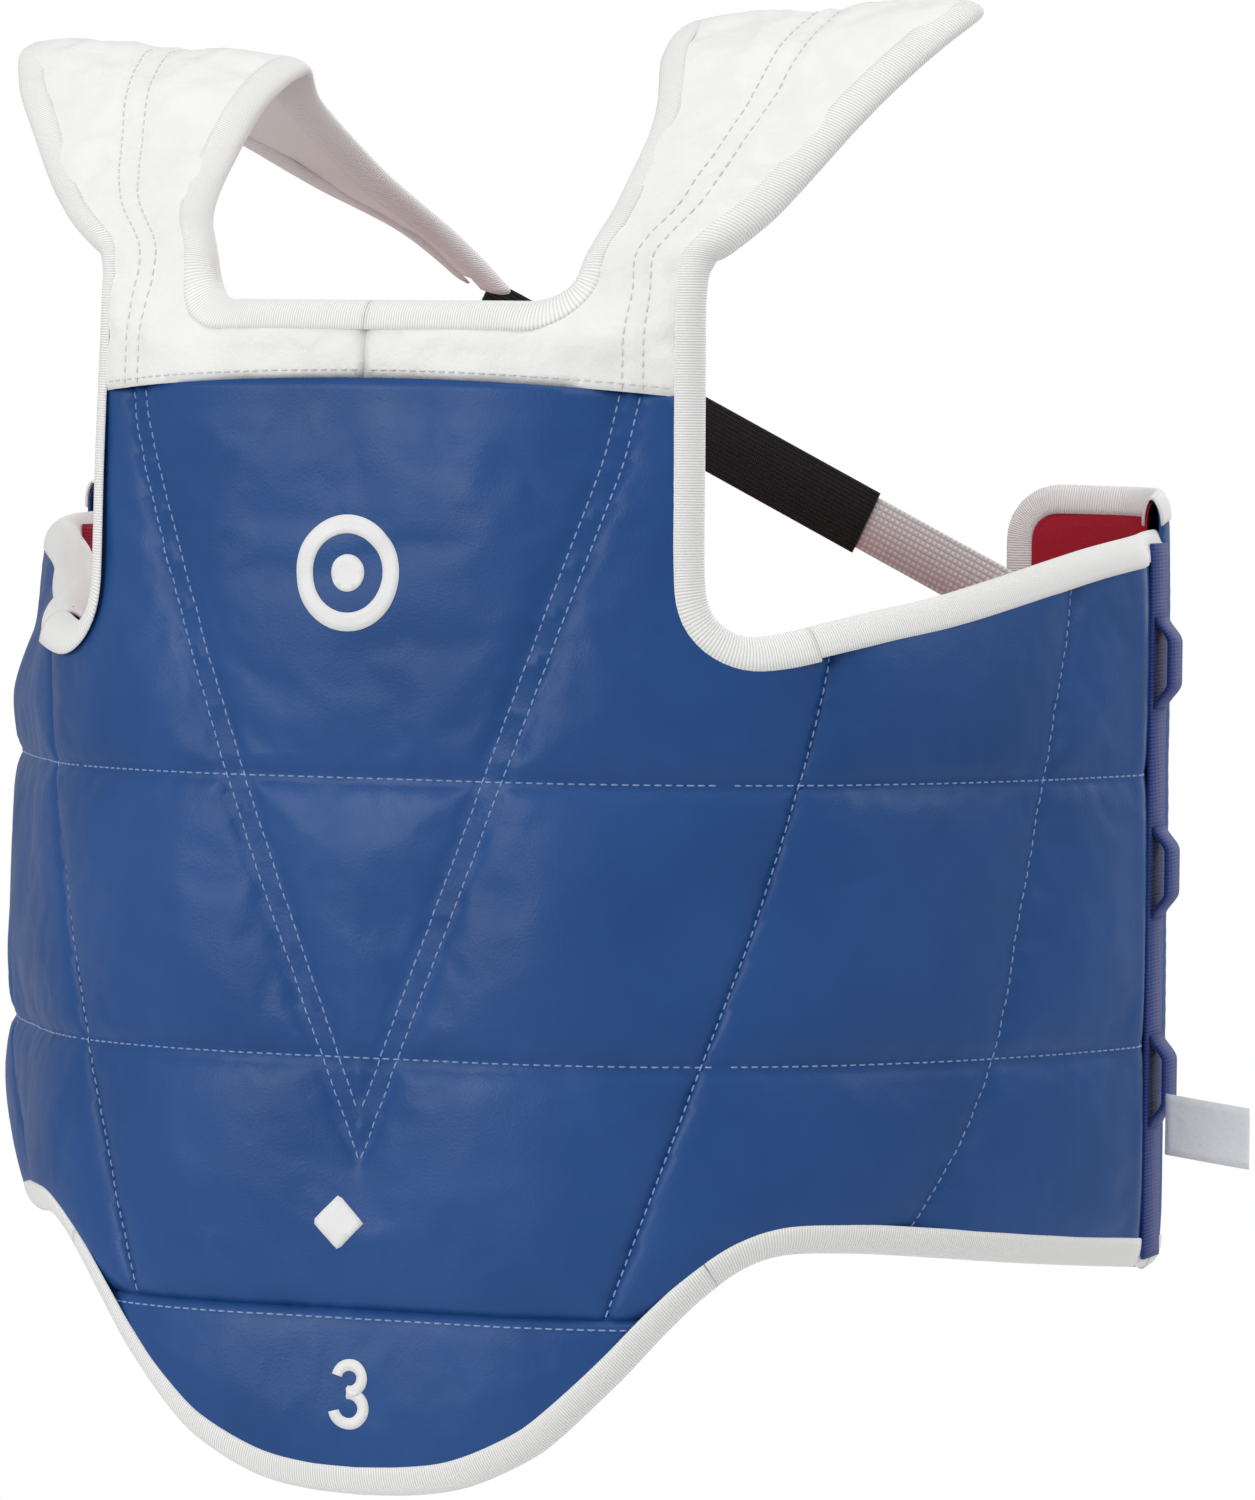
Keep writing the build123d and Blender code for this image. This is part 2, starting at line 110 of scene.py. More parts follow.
# How far each side of the worn guard lies from the even shape: the opening of the wing, the lift
# of the strap's crest, and the sideways shift of the strap's rear end.
WING_OPENING = {1: math.radians(-1.5), -1: math.radians(8.0)}
CREST_LIFT = {1: 8.0, -1: -7.0}
TAIL_SHIFT = {1: -30.0, -1: 0.0}
HINGE_X, HINGE_Y, WING_FACE = 206.66, -60.5, 1.17
# The rear edge curls in a little more than the even shape, about a line near the webbing.
REAR_CURL, CURL_X, CURL_Y = math.radians(9), 267.0, 92.0
HANDS = (("left", 1), ("right", -1))
WING_JOINT = {j["name"]: j for j in frame["record"]["behaviour"]["joints"]}


def smooth(x):
    x = np.clip(x, 0, 1)
    return x * x * (3 - 2 * x)


def run_along(path):
    """Distance run along a path up to each of its points."""
    return np.concatenate([[0], np.cumsum(np.linalg.norm(np.diff(path, axis=0), axis=1))])


def hermite(u):
    """Weights of the start, its slope, the end and its slope at a share u of a cubic's span."""
    return 2 * u**3 - 3 * u**2 + 1, u**3 - 2 * u**2 + u, -2 * u**3 + 3 * u**2, u**3 - u**2


def spline(points, step):
    """Even points along a smooth curve through the given ones."""
    pts = np.array(points, float)
    ext = np.vstack([2 * pts[0] - pts[1], pts, 2 * pts[-1] - pts[-2]])
    dense = []
    for i in range(len(pts) - 1):
        a, b, c, d = ext[i], ext[i + 1], ext[i + 2], ext[i + 3]
        t0, t1 = (c - a) / 2, (d - b) / 2
        span = np.linalg.norm(c - b)
        t0 = t0 * min(1, span / (np.linalg.norm(t0) + 1e-9))
        t1 = t1 * min(1, span / (np.linalg.norm(t1) + 1e-9))
        for u in np.linspace(0, 1, 24, endpoint=False):
            h = hermite(u)
            dense.append(h[0] * b + h[1] * t0 + h[2] * c + h[3] * t1)
    dense.append(pts[-1])
    return resample(np.array(dense), step)


def resample(pts, step):
    """Even points along a broken line."""
    pts = np.array(pts, float)
    run = run_along(pts)
    count = max(2, int(round(run[-1] / step)) + 1)
    at = np.linspace(0, run[-1], count)
    return np.stack([np.interp(at, run, pts[:, k]) for k in range(pts.shape[1])], axis=1)


def flipped(points):
    return np.array(points, float) * np.array([-1, 1])


def on_side(line, side):
    """A pattern line of the left side, carried to the side asked for."""
    return line if side > 0 else flipped(line)


def node_box(name):
    """Lowest and highest corners of a CAD node, in millimetres."""
    return (np.array(corner) * 1000 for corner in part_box(name))


def cut_at(curve, axis, low, high):
    """The stretch of a curve whose coordinate on an axis lies between two values."""
    inside = (curve[:, axis] >= low - 1e-6) & (curve[:, axis] <= high + 1e-6)
    return curve[inside]


# ---------------------------------------------------------------- charts


def section(p):
    """Outer face of the trunk section at pattern distance p: x, y and the inward normal."""
    a, sign = np.abs(p), np.where(p < 0, -1.0, 1.0)
    phi = np.clip((a - FLAT_HALF) / CHEST_R, 0, CHEST_TURN)
    x = np.minimum(a, FLAT_HALF) + CHEST_R * np.sin(phi)
    y = -FRONT_Y + CHEST_R * (1 - np.cos(phi))
    side = CHEST_TURN + np.clip((a - P_CHEST) / SIDE_R, 0, SIDE_TURN)
    x = x + SIDE_R * (np.sin(side) - math.sin(CHEST_TURN))
    y = y - SIDE_R * (np.cos(side) - math.cos(CHEST_TURN))
    strip = np.clip(a - P_END, 0, P_KNEE - P_END)
    bend = END_PHI + np.clip((a - P_KNEE) / FLAP_BEND, 0, FLAP_TURN)
    reach = FLAP_BEND + PAD / 2
    x = x + strip * math.cos(END_PHI) + reach * (np.sin(bend) - math.sin(END_PHI))
    y = y + strip * math.sin(END_PHI) - reach * (np.cos(bend) - math.cos(END_PHI))
    tip = np.maximum(a - P_KNEE - FLAP_BEND * FLAP_TURN, 0)
    heading = np.where(a < P_CHEST, phi, np.where(a < P_KNEE, side, bend))
    # The rear edge curls in, then the whole wing swings about its hinge line.
    turned = REAR_CURL * smooth((a - P_END + 34) / 44)
    x = x + tip * np.cos(heading)
    y = y + tip * np.sin(heading)
    curl_x, curl_y = x - CURL_X, y - CURL_Y
    c, s = np.cos(turned), np.sin(turned)
    x, y = CURL_X + c * curl_x - s * curl_y, CURL_Y + s * curl_x + c * curl_y
    nx, ny = -np.sin(heading + turned), np.cos(heading + turned)
    swing = np.where(p < 0, WING_OPENING[-1], WING_OPENING[1]) * smooth((a - 175) / 120)
    c, s = np.cos(swing), np.sin(swing)
    dx, dy = x - HINGE_X, y - HINGE_Y
    x, y = HINGE_X + c * dx + s * dy, HINGE_Y - s * dx + c * dy
    nx, ny = c * nx + s * ny, -s * nx + c * ny
    return sign * x, y, sign * nx, ny


def trunk(p, q, d):
    """Trunk chart: a pattern point at depth d below the outer face, in millimetres."""
    p, q, d = np.broadcast_arrays(*(np.atleast_1d(np.asarray(v, float)) for v in (p, q, d)))
    x, y, nx, ny = section(p)
    a = np.abs(p)
    # The yoke leans back between neck and strap, worn cloth sways, and the right side tucks in.
    lean = 18 * smooth((q - 494) / 34) * smooth((a - 52) / 36) * (1 - smooth((a - 100) / 50))
    sway = 1.6 * np.sin(q / 83 + 0.6) * np.sin(p / 91 + 0.4) + 1.1 * np.sin(q / 47 + p / 63)
    pull = 17 * smooth((q - 330) / 60) + 7 * smooth((170 - q) / 70)
    tuck = pull * smooth((a - 215) / 70) * smooth((430 - a) / 90)
    depth = d + sway * smooth((430 - a) / 60) + np.where(p < 0, tuck, 0)
    return np.stack([x + nx * depth, y + ny * depth + lean, q + 0 * x], axis=1)


def pad_half(p):
    """Half thickness of the sandwich: full on the body, pinched at the webbing, thin on the flap."""
    a = np.abs(p)
    body = PAD / 2 - 5.5 * smooth((a - P_END + 22) / 20)
    return body + 1.5 * smooth((a - P_END - WEB_WIDTH + 4) / 14)


def strap_rows():
    """Rows of the strap: inner edge, outer edge, thickness and distance run along the middle."""
    inner, outer, thick = [], [], []
    for q in (495.0, 513.0, STRAP_Q):
        edge = trunk(np.array([STRAP_P - STRAP_HALF, STRAP_P + STRAP_HALF]), q, 0)
        inner.append(edge[0])
        outer.append(edge[1])
        thick.append(PAD)
    for a, b, t in STRAP_STATIONS:
        inner.append(np.array(a, float))
        outer.append(np.array(b, float))
        thick.append(t)
    inner, outer = np.array(inner), np.array(outer)
    mid = (inner + outer) / 2
    run = run_along(mid)
    return inner, outer, np.array(thick, float), run + STRAP_Q - run[2]


ROW_INNER, ROW_OUTER, ROW_THICK, ROW_Q = strap_rows()
TAIL_Q = ROW_Q[-1]


def along_rows(values, q):
    """Smooth cubic through the values at the strap's rows."""
    values = np.asarray(values, float)
    if values.ndim == 1:
        values = values[:, None]
    slope = np.gradient(values, ROW_Q, axis=0)
    i = np.clip(np.searchsorted(ROW_Q, q) - 1, 0, len(ROW_Q) - 2)
    span = (ROW_Q[i + 1] - ROW_Q[i])[:, None]
    w = hermite((q - ROW_Q[i])[:, None] / span)
    ends = w[0] * values[i] + w[1] * span * slope[i]
    return ends + w[2] * values[i + 1] + w[3] * span * slope[i + 1]


def strap_half(q):
    """Half width of the strap's pattern at q."""
    width = np.linalg.norm(along_rows(ROW_OUTER, q) - along_rows(ROW_INNER, q), axis=1) / 2
    ease = smooth((q - STRAP_Q) / 25)
    return np.where(q < STRAP_Q + 25, STRAP_HALF + (width - STRAP_HALF) * ease, width)


def strap_base(p, q):
    """Outer face of the strap, between its two edges."""
    inner, outer = along_rows(ROW_INNER, q), along_rows(ROW_OUTER, q)
    t = ((p - STRAP_P) / strap_half(q))[:, None]
    return (inner + outer) / 2 + (outer - inner) / 2 * t


def strap(p, q, d):
    """Chart of the left yoke half and shoulder strap; past STRAP_Q it follows the strap."""
    p, q, d = (np.array(v, float) for v in np.broadcast_arrays(p, q, d))
    low = trunk(p, np.minimum(q, STRAP_Q + 15), d)
    high = np.maximum(q, STRAP_Q - 30)
    base = strap_base(p, high)
    dp = strap_base(p + 1, high) - base
    dq = strap_base(p, high + 1) - base
    normal = np.cross(dp, dq)
    normal /= np.linalg.norm(normal, axis=1)[:, None] + 1e-9
    over = base - normal * d[:, None]
    w = smooth((q - STRAP_Q + 22) / 34)[:, None]
    crest = smooth((q - STRAP_Q) / 90) * smooth((TAIL_Q - q) / 90)
    return low * (1 - w) + over * w, crest


def strap_of(side):
    """The strap chart of one side, with that side's crest lift and sideways shift of its tail."""
    def chart(p, q, d):
        points, crest = strap(p, q, d)
        points[:, 2] += CREST_LIFT[side] * crest
        reach = np.broadcast_to(np.asarray(q, float), crest.shape)
        points[:, 0] += TAIL_SHIFT[side] * smooth((reach - TAIL_Q + 130) / 130)
        return points * np.array([side, 1, 1])

    return chart


def trunk_of(side):
    """The trunk chart, with p counted from the middle towards one side."""
    def chart(p, q, d):
        return trunk(np.asarray(p) * side, q, d)

    return chart


# ---------------------------------------------------------------- relief


def distance(pts, lines):
    """Distance from each point to the nearest of the lines."""
    best = np.full(len(pts), 1e9)
    for line in lines:
        for a, b in zip(line[:-1], line[1:]):
            ab = b - a
            t = np.clip(((pts - a) @ ab) / (ab @ ab + 1e-12), 0, 1)
            gap = pts - a - t[:, None] * ab
            best = np.minimum(best, np.sqrt((gap**2).sum(1)))
    return best


def rough(pts, scale, seed):
    """Smooth noise over the pattern, the same on each run."""
    return np.array([noise.noise(Vector((x / scale, y / scale, seed))) for x, y in pts])


def both(line):
    return [np.array(line, float), flipped(line)]


TOP_EDGE = spline(WING_TOP, 4)
BOTTOM_EDGE = spline(WING_BOTTOM, 4)
FIRST = spline(FIRST_LINE, 4)
SECOND = spline(SECOND_LINE, 4)
V_OUT = spline(OUTER_V, 4)
V_IN = spline(INNER_V, 4)


def cross_seam(q):
    return np.array([(-P_END, q), (P_END, q)], float)


RISING = BOTTOM_EDGE[BOTTOM_EDGE[:, 0] < 170]
SEAM_END = float(np.interp(SEAM_Q, RISING[:, 1], RISING[:, 0]))
SEAMS = (
    both(FIRST) + both(SECOND) + both(V_OUT) + both(V_IN)
    + [cross_seam(q) for q in CROSS_SEAMS] + [np.array([(-SEAM_END, SEAM_Q), (SEAM_END, SEAM_Q)])]
)
EDGES = both(TOP_EDGE) + both(BOTTOM_EDGE)


def edge_share(a):
    """How much of the half thickness is left at a distance from the bound edge."""
    nose = np.sqrt(np.clip(1 - (1 - np.minimum(a / 9, 1)) ** 2, 0, 1))
    return (1 - 0.36 * np.exp(-a / 15)) * nose


def relief(p, q, out=True):
    """Depth of the quilted outer face, or of the lining, at each pattern point."""
    p, q = (np.array(v, float) for v in np.broadcast_arrays(p, q))
    pts = np.stack([p, q], axis=1)
    seam, edge = distance(pts, SEAMS), distance(pts, EDGES)
    near = np.minimum(seam, edge + 4)
    dip = 2.3 * np.exp(-seam / 13) + 1.5 * np.exp(-((seam / 3.2) ** 2))
    crown = 2.6 * (1 - np.exp(-near / 34))
    pucker = (0.8 * rough(pts, 7, 3.3) + 0.7 * rough(pts, 15, 7.7)) * np.exp(-seam / 11)
    wave = 0.7 * rough(pts, 60, 1.1) + 0.3 * rough(pts, 24, 5.2)
    lift = crown - dip + pucker + wave * smooth(near / 12)
    # The webbing pulls the left rear edge flat.
    lift = lift * (0.3 + 0.7 * smooth((P_END - 16 - p) / 60))
    half = pad_half(p) * edge_share(edge)
    return PAD / 2 - half - lift if out else PAD / 2 + half + lift * 0.7


# ---------------------------------------------------------------- meshes

SETTLE_FRAMES, SETTLE_LIMIT = 12, 3.5
PUFF, SPARE = 0.35, 0.003
LIFTED = []


def make(name, verts, faces, material, uv=None):
    """A smooth mesh piece from points in millimetres."""
    mesh = bpy.data.meshes.new(name)
    mesh.from_pydata([tuple(v) for v in np.asarray(verts) * MM], [], [tuple(f) for f in faces])
    mesh.materials.append(material)
    mesh.polygons.foreach_set("use_smooth", [True] * len(mesh.polygons))
    if uv is not None:
        layer = mesh.uv_layers.new(name="weave")
        loops = np.empty(len(mesh.loops), int)
        mesh.loops.foreach_get("vertex_index", loops)
        layer.data.foreach_set("uv", np.asarray(uv, float)[loops].ravel())
    mesh.update()
    piece = bpy.data.objects.new(name, mesh)
    bpy.context.collection.objects.link(piece)
    return piece


def slot_of(material):
    """The record's slot for a material: its name without the number that Blender may add."""
    return material.name.split(".")[0]


def triangulate(outline, seams, spacing):
    """Points and even triangles inside an outline, with edges along the seams."""
    outline = np.array(outline, float)
    low, high = outline.min(0), outline.max(0)
    rows = np.arange(low[1], high[1], spacing * 0.866)
    grid = []
    for i, q in enumerate(rows):
        shift = spacing / 2 * (i % 2)
        ps = np.arange(low[0] + shift, high[0], spacing)
        grid.append(np.stack([ps, np.full(len(ps), q)], axis=1))
    grid = np.vstack(grid)
    rim_line = np.vstack([outline, outline[:1]])
    grid = grid[distance(grid, [rim_line] + seams) > spacing * 0.55]
    verts, edges = list(outline), []
    for seam in seams:
        start = len(verts)
        verts.extend(seam)
        edges += [(start + i, start + i + 1) for i in range(len(seam) - 1)]
    verts.extend(grid)
    result = delaunay_2d_cdt(
        [Vector(v) for v in verts], edges, [list(range(len(outline)))], 1, 1e-3
    )
    return np.array([tuple(v) for v in result[0]]), [tuple(f) for f in result[2]]


def rim_edges(faces):
    """Edges that only one face has."""
    seen = {}
    for f in faces:
        for a, b in zip(f, f[1:] + f[:1]):
            key = (min(a, b), max(a, b))
            seen[key] = None if key in seen else (a, b)
    return [e for e in seen.values() if e]


def settle(points, faces, pinned, pressure, spare):
    """Let a sheet puff up between its pinned seams, with a little spare cloth, as a simulation."""
    mesh = bpy.data.meshes.new("sheet")
    mesh.from_pydata([tuple(v) for v in points * MM], [], faces)
    sheet = bpy.data.objects.new("sheet", mesh)
    bpy.context.collection.objects.link(sheet)
    group = sheet.vertex_groups.new(name="pin")
    group.add([int(i) for i in np.nonzero(pinned)[0]], 1.0, "REPLACE")
    cloth = sheet.modifiers.new("cloth", "CLOTH")
    setup = cloth.settings
    setup.quality = 4
    setup.mass = 0.2
    setup.tension_stiffness = 20
    setup.compression_stiffness = 8
    setup.shear_stiffness = 6
    setup.bending_stiffness = 0.12
    setup.vertex_group_mass = "pin"
    setup.effector_weights.gravity = 0
    setup.use_pressure = True
    setup.uniform_pressure_force = pressure
    setup.shrink_min = -spare
    cloth.collision_settings.use_collision = False
    cloth.point_cache.frame_end = SETTLE_FRAMES
    for number in range(1, SETTLE_FRAMES + 1):
        bpy.context.scene.frame_set(number)
    graph = bpy.context.evaluated_depsgraph_get()
    held = sheet.evaluated_get(graph).data
    moved = np.empty(len(points) * 3)
    held.vertices.foreach_get("co", moved)
    bpy.data.objects.remove(sheet)
    bpy.context.scene.frame_set(1)
    shift = moved.reshape(-1, 3) / MM - points
    size = np.linalg.norm(shift, axis=1)[:, None]
    return points + shift * np.minimum(1, SETTLE_LIMIT / (size + 1e-9))


def skin(name, outline, seams, chart, depth, thick, material, spacing=4.0, settled=None):
    """A thin closed skin over a pattern outline, its outer face at the given depths."""
    pts, faces = triangulate(outline, seams, spacing)
    p, q = pts[:, 0], pts[:, 1]
    face_depth = depth(p, q)
    top = chart(p, q, face_depth)
    under = chart(p, q, face_depth + thick)
    n = len(pts)
    area = np.cross(top[faces[0][1]] - top[faces[0][0]], top[faces[0][2]] - top[faces[0][0]])
    if np.dot(area, top[faces[0][0]] - under[faces[0][0]]) <= 0:
        faces = [f[::-1] for f in faces]
    if settled is not None:
        rim = np.vstack([outline, outline[:1]])
        pinned = distance(pts, [rim]) < TAPE_WIDTH + 3
        if seams:
            pinned |= distance(pts, seams) < 1
        after = settle(top, faces, pinned, *settled)
        LIFTED.append((pts, after - top, top - under))
        under, top = under + after - top, after
    walls = [(b, a, a + n, b + n) for a, b in rim_edges(faces)]
    back = [tuple(i + n for i in f[::-1]) for f in faces]
    piece = make(name, np.vstack([top, under]), faces + back + walls, material)
    slot_of(material)
    return piece


def sweep(name, rings, material, uv):
    """Closed cross-sections joined along a run, with end caps. rings is (count, around, 3)."""
    count, around, _ = rings.shape
    faces = []
    for i in range(count - 1):
        for j in range(around):
            k = (j + 1) % around
            a = i * around
            faces.append((a + j, a + k, a + around + k, a + around + j))
    faces.append(tuple(reversed(range(around))))
    faces.append(tuple(range((count - 1) * around, count * around)))
    piece = make(name, rings.reshape(-1, 3), faces, material, uv)
    slot_of(material)
    return piece


def inward(path, sign):
    """Unit pattern direction square to a path, turned left or right."""
    run = np.gradient(path, axis=0)
    run /= np.linalg.norm(run, axis=1)[:, None] + 1e-9
    return np.stack([-run[:, 1], run[:, 0]], axis=1) * sign


def tape(name, path, sign, chart, half, middle, width=TAPE_WIDTH):
    """Binding tape folded round an edge: path runs along the edge, sign points to the cloth."""
    way = inward(path, sign)
    turns = np.radians(np.array([90, 78, 62, 45, 28, 10, -10, -28, -45, -62, -78, -90]))
    profile = [(9 * (1 - math.cos(t)), math.sin(t), (-math.cos(t), math.sin(t))) for t in turns]
    flat = (0.0, 1.0)
    outer = [(width, 1.0, flat), (width - 0.5, 1.0, flat)] + profile
    outer += [(width - 0.5, -1.0, (0, -1)), (width, -1.0, (0, -1))]
    rings, uvs = [], []
    run = run_along(path)
    lifts = [0.35, 1.25] + [1.25] * len(profile) + [1.25, 0.35]
    loops = [(a, s, n, lift) for (a, s, n), lift in zip(outer, lifts)]
    loops += [(a, s, n, 0.15) for a, s, n in reversed(outer)]
    across = np.linspace(0, 2 * width + 14, len(outer))
    across = np.concatenate([across, across[::-1]])
    for a, s, n, lift in loops:
        share = (1 - 0.36 * math.exp(-max(a, 0) / 15)) * abs(s)
        level = half * share * np.sign(s)
        p = path[:, 0] + way[:, 0] * (a + n[0] * lift)
        q = path[:, 1] + way[:, 1] * (a + n[0] * lift)
        rings.append(chart(p, q, middle - level - n[1] * lift))
    rings = np.array(rings).transpose(1, 0, 2)
    for k in range(len(path)):
        uvs += [(u, run[k]) for u in across]
    return sweep(name, rings, TAPE, np.array(uvs) / 10)


def stitches(name, runs, chart, depth, material, pitch=4.7, size=3.5, radius=0.42):
    """Sewing thread: one small capsule for each stitch along the runs."""
    start, end = [], []
    for run in runs:
        line = resample(run, 1.0)
        length = len(line) - 1.0
        for s in np.arange(1.0, length - size, pitch):
            start.append([np.interp(s, np.arange(len(line)), line[:, k]) for k in (0, 1)])
            end.append([np.interp(s + size, np.arange(len(line)), line[:, k]) for k in (0, 1)])
    start, end = np.array(start), np.array(end)
    ts = (0.0, 0.12, 0.5, 0.88, 1.0)
    lifts = (-0.35, 0.1, 0.32, 0.1, -0.35)
    widths = (0.35, 0.9, 1.0, 0.9, 0.35)
    base_depth = [depth(*((start * (1 - t) + end * t).T)) for t in (0.0, 0.5, 1.0)]
    rings = []
    first = chart(*start.T, base_depth[0])
    last = chart(*end.T, base_depth[2])
    normal = first - chart(*start.T, base_depth[0] + 1)
    normal /= np.linalg.norm(normal, axis=1)[:, None]
    side = np.cross(last - first, normal)
    side /= np.linalg.norm(side, axis=1)[:, None]
    for t, lift, width in zip(ts, lifts, widths):
        at = start * (1 - t) + end * t
        level = np.interp(t, (0, 0.5, 1), (0, 1, 2))
        low, frac = int(min(level, 1)), level - int(min(level, 1))
        here = base_depth[low] * (1 - frac) + base_depth[low + 1] * frac
        centre = chart(*at.T, here - lift)
        ring = [
            centre + (side * math.cos(u) + normal * math.sin(u)) * radius * width
            for u in np.linspace(0, 2 * math.pi, 6, endpoint=False)
        ]
        rings.append(ring)
    rings = np.array(rings)
    count = rings.shape[2]
    verts, faces = [], []
    for i in range(count):
        base = len(verts)
        verts.extend(rings[:, :, i].reshape(-1, 3))
        for r in range(4):
            for j in range(6):
                k = (j + 1) % 6
                a = base + r * 6
                faces.append((a + j, a + 6 + j, a + 6 + k, a + k))
        faces.append(tuple(base + j for j in range(6)))
        faces.append(tuple(base + 24 + j for j in reversed(range(6))))
    return make(name, np.array(verts), faces, material)


# ---------------------------------------------------------------- materials


class Nodes:
    """A material's node tree, with short ways to add and join nodes."""

    def __init__(self, name):
        self.material = bpy.data.materials.new(name)
        self.material.use_nodes = True
        self.tree = self.material.node_tree
        self.shader = self.tree.nodes["Principled BSDF"]

    def add(self, kind, inputs=None, **settings):
        node = self.tree.nodes.new(kind)
        for key, value in settings.items():
            setattr(node, key, value)
        for key, value in (inputs or {}).items():
            if isinstance(value, bpy.types.NodeSocket):
                self.tree.links.new(value, node.inputs[key])
            else:
                node.inputs[key].default_value = value
        return node

    def place(self):
        return self.add("ShaderNodeTexCoord").outputs["Object"]

    def weave_uv(self):
        return self.add("ShaderNodeUVMap", uv_map="weave").outputs["UV"]

    def noise(self, vector, scale, detail=2.0, rough=0.5):
        inputs = {"Vector": vector, "Scale": scale, "Detail": detail, "Roughness": rough}
        return self.add("ShaderNodeTexNoise", inputs).outputs["Fac"]

    def ramp(self, value, low, high, out_low, out_high):
        inputs = {
            "Value": value, "From Min": low, "From Max": high,
            "To Min": out_low, "To Max": out_high,
        }
        return self.add("ShaderNodeMapRange", inputs).outputs["Result"]

    def maths(self, kind, a, b=0.0):
        return self.add("ShaderNodeMath", {0: a, 1: b}, operation=kind).outputs[0]

    def mix(self, factor, dark, light):
        node = self.add("ShaderNodeMix", data_type="RGBA")
        self.tree.links.new(factor, node.inputs[0])
        node.inputs[6].default_value = (*dark, 1)
        node.inputs[7].default_value = (*light, 1)
        return node.outputs[2]

    def bump(self, height, strength, distance_m, under=None):
        inputs = {"Height": height, "Strength": strength, "Distance": distance_m}
        if under is not None:
            inputs["Normal"] = under
        return self.add("ShaderNodeBump", inputs).outputs["Normal"]

    def finish(self, colour, roughness, normal, **plain):
        self.tree.links.new(colour, self.shader.inputs["Base Color"])
        if isinstance(roughness, bpy.types.NodeSocket):
            self.tree.links.new(roughness, self.shader.inputs["Roughness"])
        else:
            self.shader.inputs["Roughness"].default_value = roughness
        self.tree.links.new(normal, self.shader.inputs["Normal"])
        for key, value in plain.items():
            self.shader.inputs[key.replace("_", " ")].default_value = value
        return self.material


def vinyl(name, dark, light, roughness):
    """Coated leathercloth: fine pebble grain, slight cloudiness and a soft sheen."""
    n = Nodes(name)
    at = n.place()
    cloud = n.noise(at, 14.0, 3.0)
    colour = n.mix(n.ramp(cloud, 0.3, 0.7, 0.0, 1.0), dark, light)
    cells = n.add("ShaderNodeTexVoronoi", {"Vector": at, "Scale": 900.0}, feature="SMOOTH_F1")
    fine = n.noise(at, 1800.0, 2.0)
    grain = n.maths("ADD", cells.outputs["Distance"], n.maths("MULTIPLY", fine, 0.5))
    small = n.bump(grain, 0.22, 0.0004)
    broad = n.bump(n.noise(at, 60.0, 3.0), 0.10, 0.002, small)
    rough_map = n.ramp(n.noise(at, 35.0, 4.0), 0.3, 0.7, roughness - 0.05, roughness + 0.06)
    return n.finish(colour, rough_map, broad, Specular_IOR_Level=0.28)


def coated_cloth(name, dark, light):
    """White coated fabric: faint plain weave under the coating and soft creases."""
    n = Nodes(name)
    at = n.place()
    colour = n.mix(n.ramp(n.noise(at, 22.0, 3.0), 0.3, 0.7, 0.0, 1.0), dark, light)
    weave = n.noise(at, 1500.0, 2.0)
    crease = n.noise(at, 75.0, 5.0, 0.62)
    small = n.bump(weave, 0.12, 0.0003)
    broad = n.bump(crease, 0.35, 0.0035, small)
    rough_map = n.ramp(crease, 0.3, 0.7, 0.42, 0.56)
    return n.finish(colour, rough_map, broad, Specular_IOR_Level=0.35)


def ribbed(name, dark, light, pitch, across_pitch=0.0, strength=0.6, roughness=0.8, sheen=0.15):
    """Woven tape or webbing: ribs square to its run, and rows along it if across_pitch is set."""
    n = Nodes(name)
    uv = n.weave_uv()
    parts = n.add("ShaderNodeSeparateXYZ", {0: uv})
    turn = n.maths("MULTIPLY", parts.outputs[1], 20 * math.pi / pitch)
    rib = n.maths("ABSOLUTE", n.maths("SINE", n.maths("MULTIPLY", turn, 0.5)))
    if across_pitch:
        row_turn = n.maths("MULTIPLY", parts.outputs[0], 20 * math.pi / across_pitch)
        row = n.maths("ABSOLUTE", n.maths("SINE", n.maths("MULTIPLY", row_turn, 0.5)))
        rib = n.maths("MULTIPLY", rib, row)
    fibre = n.noise(n.place(), 2200.0, 3.0)
    height = n.maths("ADD", rib, n.maths("MULTIPLY", fibre, 0.35))
    tone = n.maths("ADD", n.maths("MULTIPLY", rib, 0.8), n.maths("MULTIPLY", fibre, 0.3))
    colour = n.mix(n.ramp(tone, 0.1, 0.9, 0.0, 1.0), dark, light)
    normal = n.bump(height, strength, 0.0005)
    rough_map = n.ramp(fibre, 0.3, 0.7, roughness - 0.06, roughness + 0.08)
    return n.finish(colour, rough_map, normal, Specular_IOR_Level=0.25, Sheen_Weight=sheen)


def thread(name, dark, light):
    n = Nodes(name)
    at = n.place()
    twist = n.noise(at, 2500.0, 2.0)
    colour = n.mix(n.ramp(twist, 0.3, 0.7, 0.0, 1.0), dark, light)
    return n.finish(colour, 0.55, n.bump(twist, 0.3, 0.0002), Specular_IOR_Level=0.3)


BLUE = vinyl("blue_vinyl", (0.010, 0.060, 0.214), (0.016, 0.075, 0.255), 0.43)
RED = vinyl("red_vinyl", (0.36, 0.0035, 0.018), (0.43, 0.005, 0.024), 0.45)
WHITE = coated_cloth("white_coated_fabric", (0.84, 0.84, 0.82), (0.89, 0.89, 0.875))
TAPE = ribbed("white_binding", (0.74, 0.74, 0.73), (0.95, 0.95, 0.94), 1.15)
BLUE_WEB = ribbed("blue_webbing", (0.008, 0.020, 0.12), (0.022, 0.055, 0.28), 1.6, 2.6)
RED_WEB = ribbed("red_webbing", (0.20, 0.002, 0.012), (0.42, 0.006, 0.03), 1.6, 2.6)
GREY_WEB = ribbed("grey_webbing", (0.62, 0.62, 0.62), (0.90, 0.90, 0.90), 2.6, 2.6, 0.9)
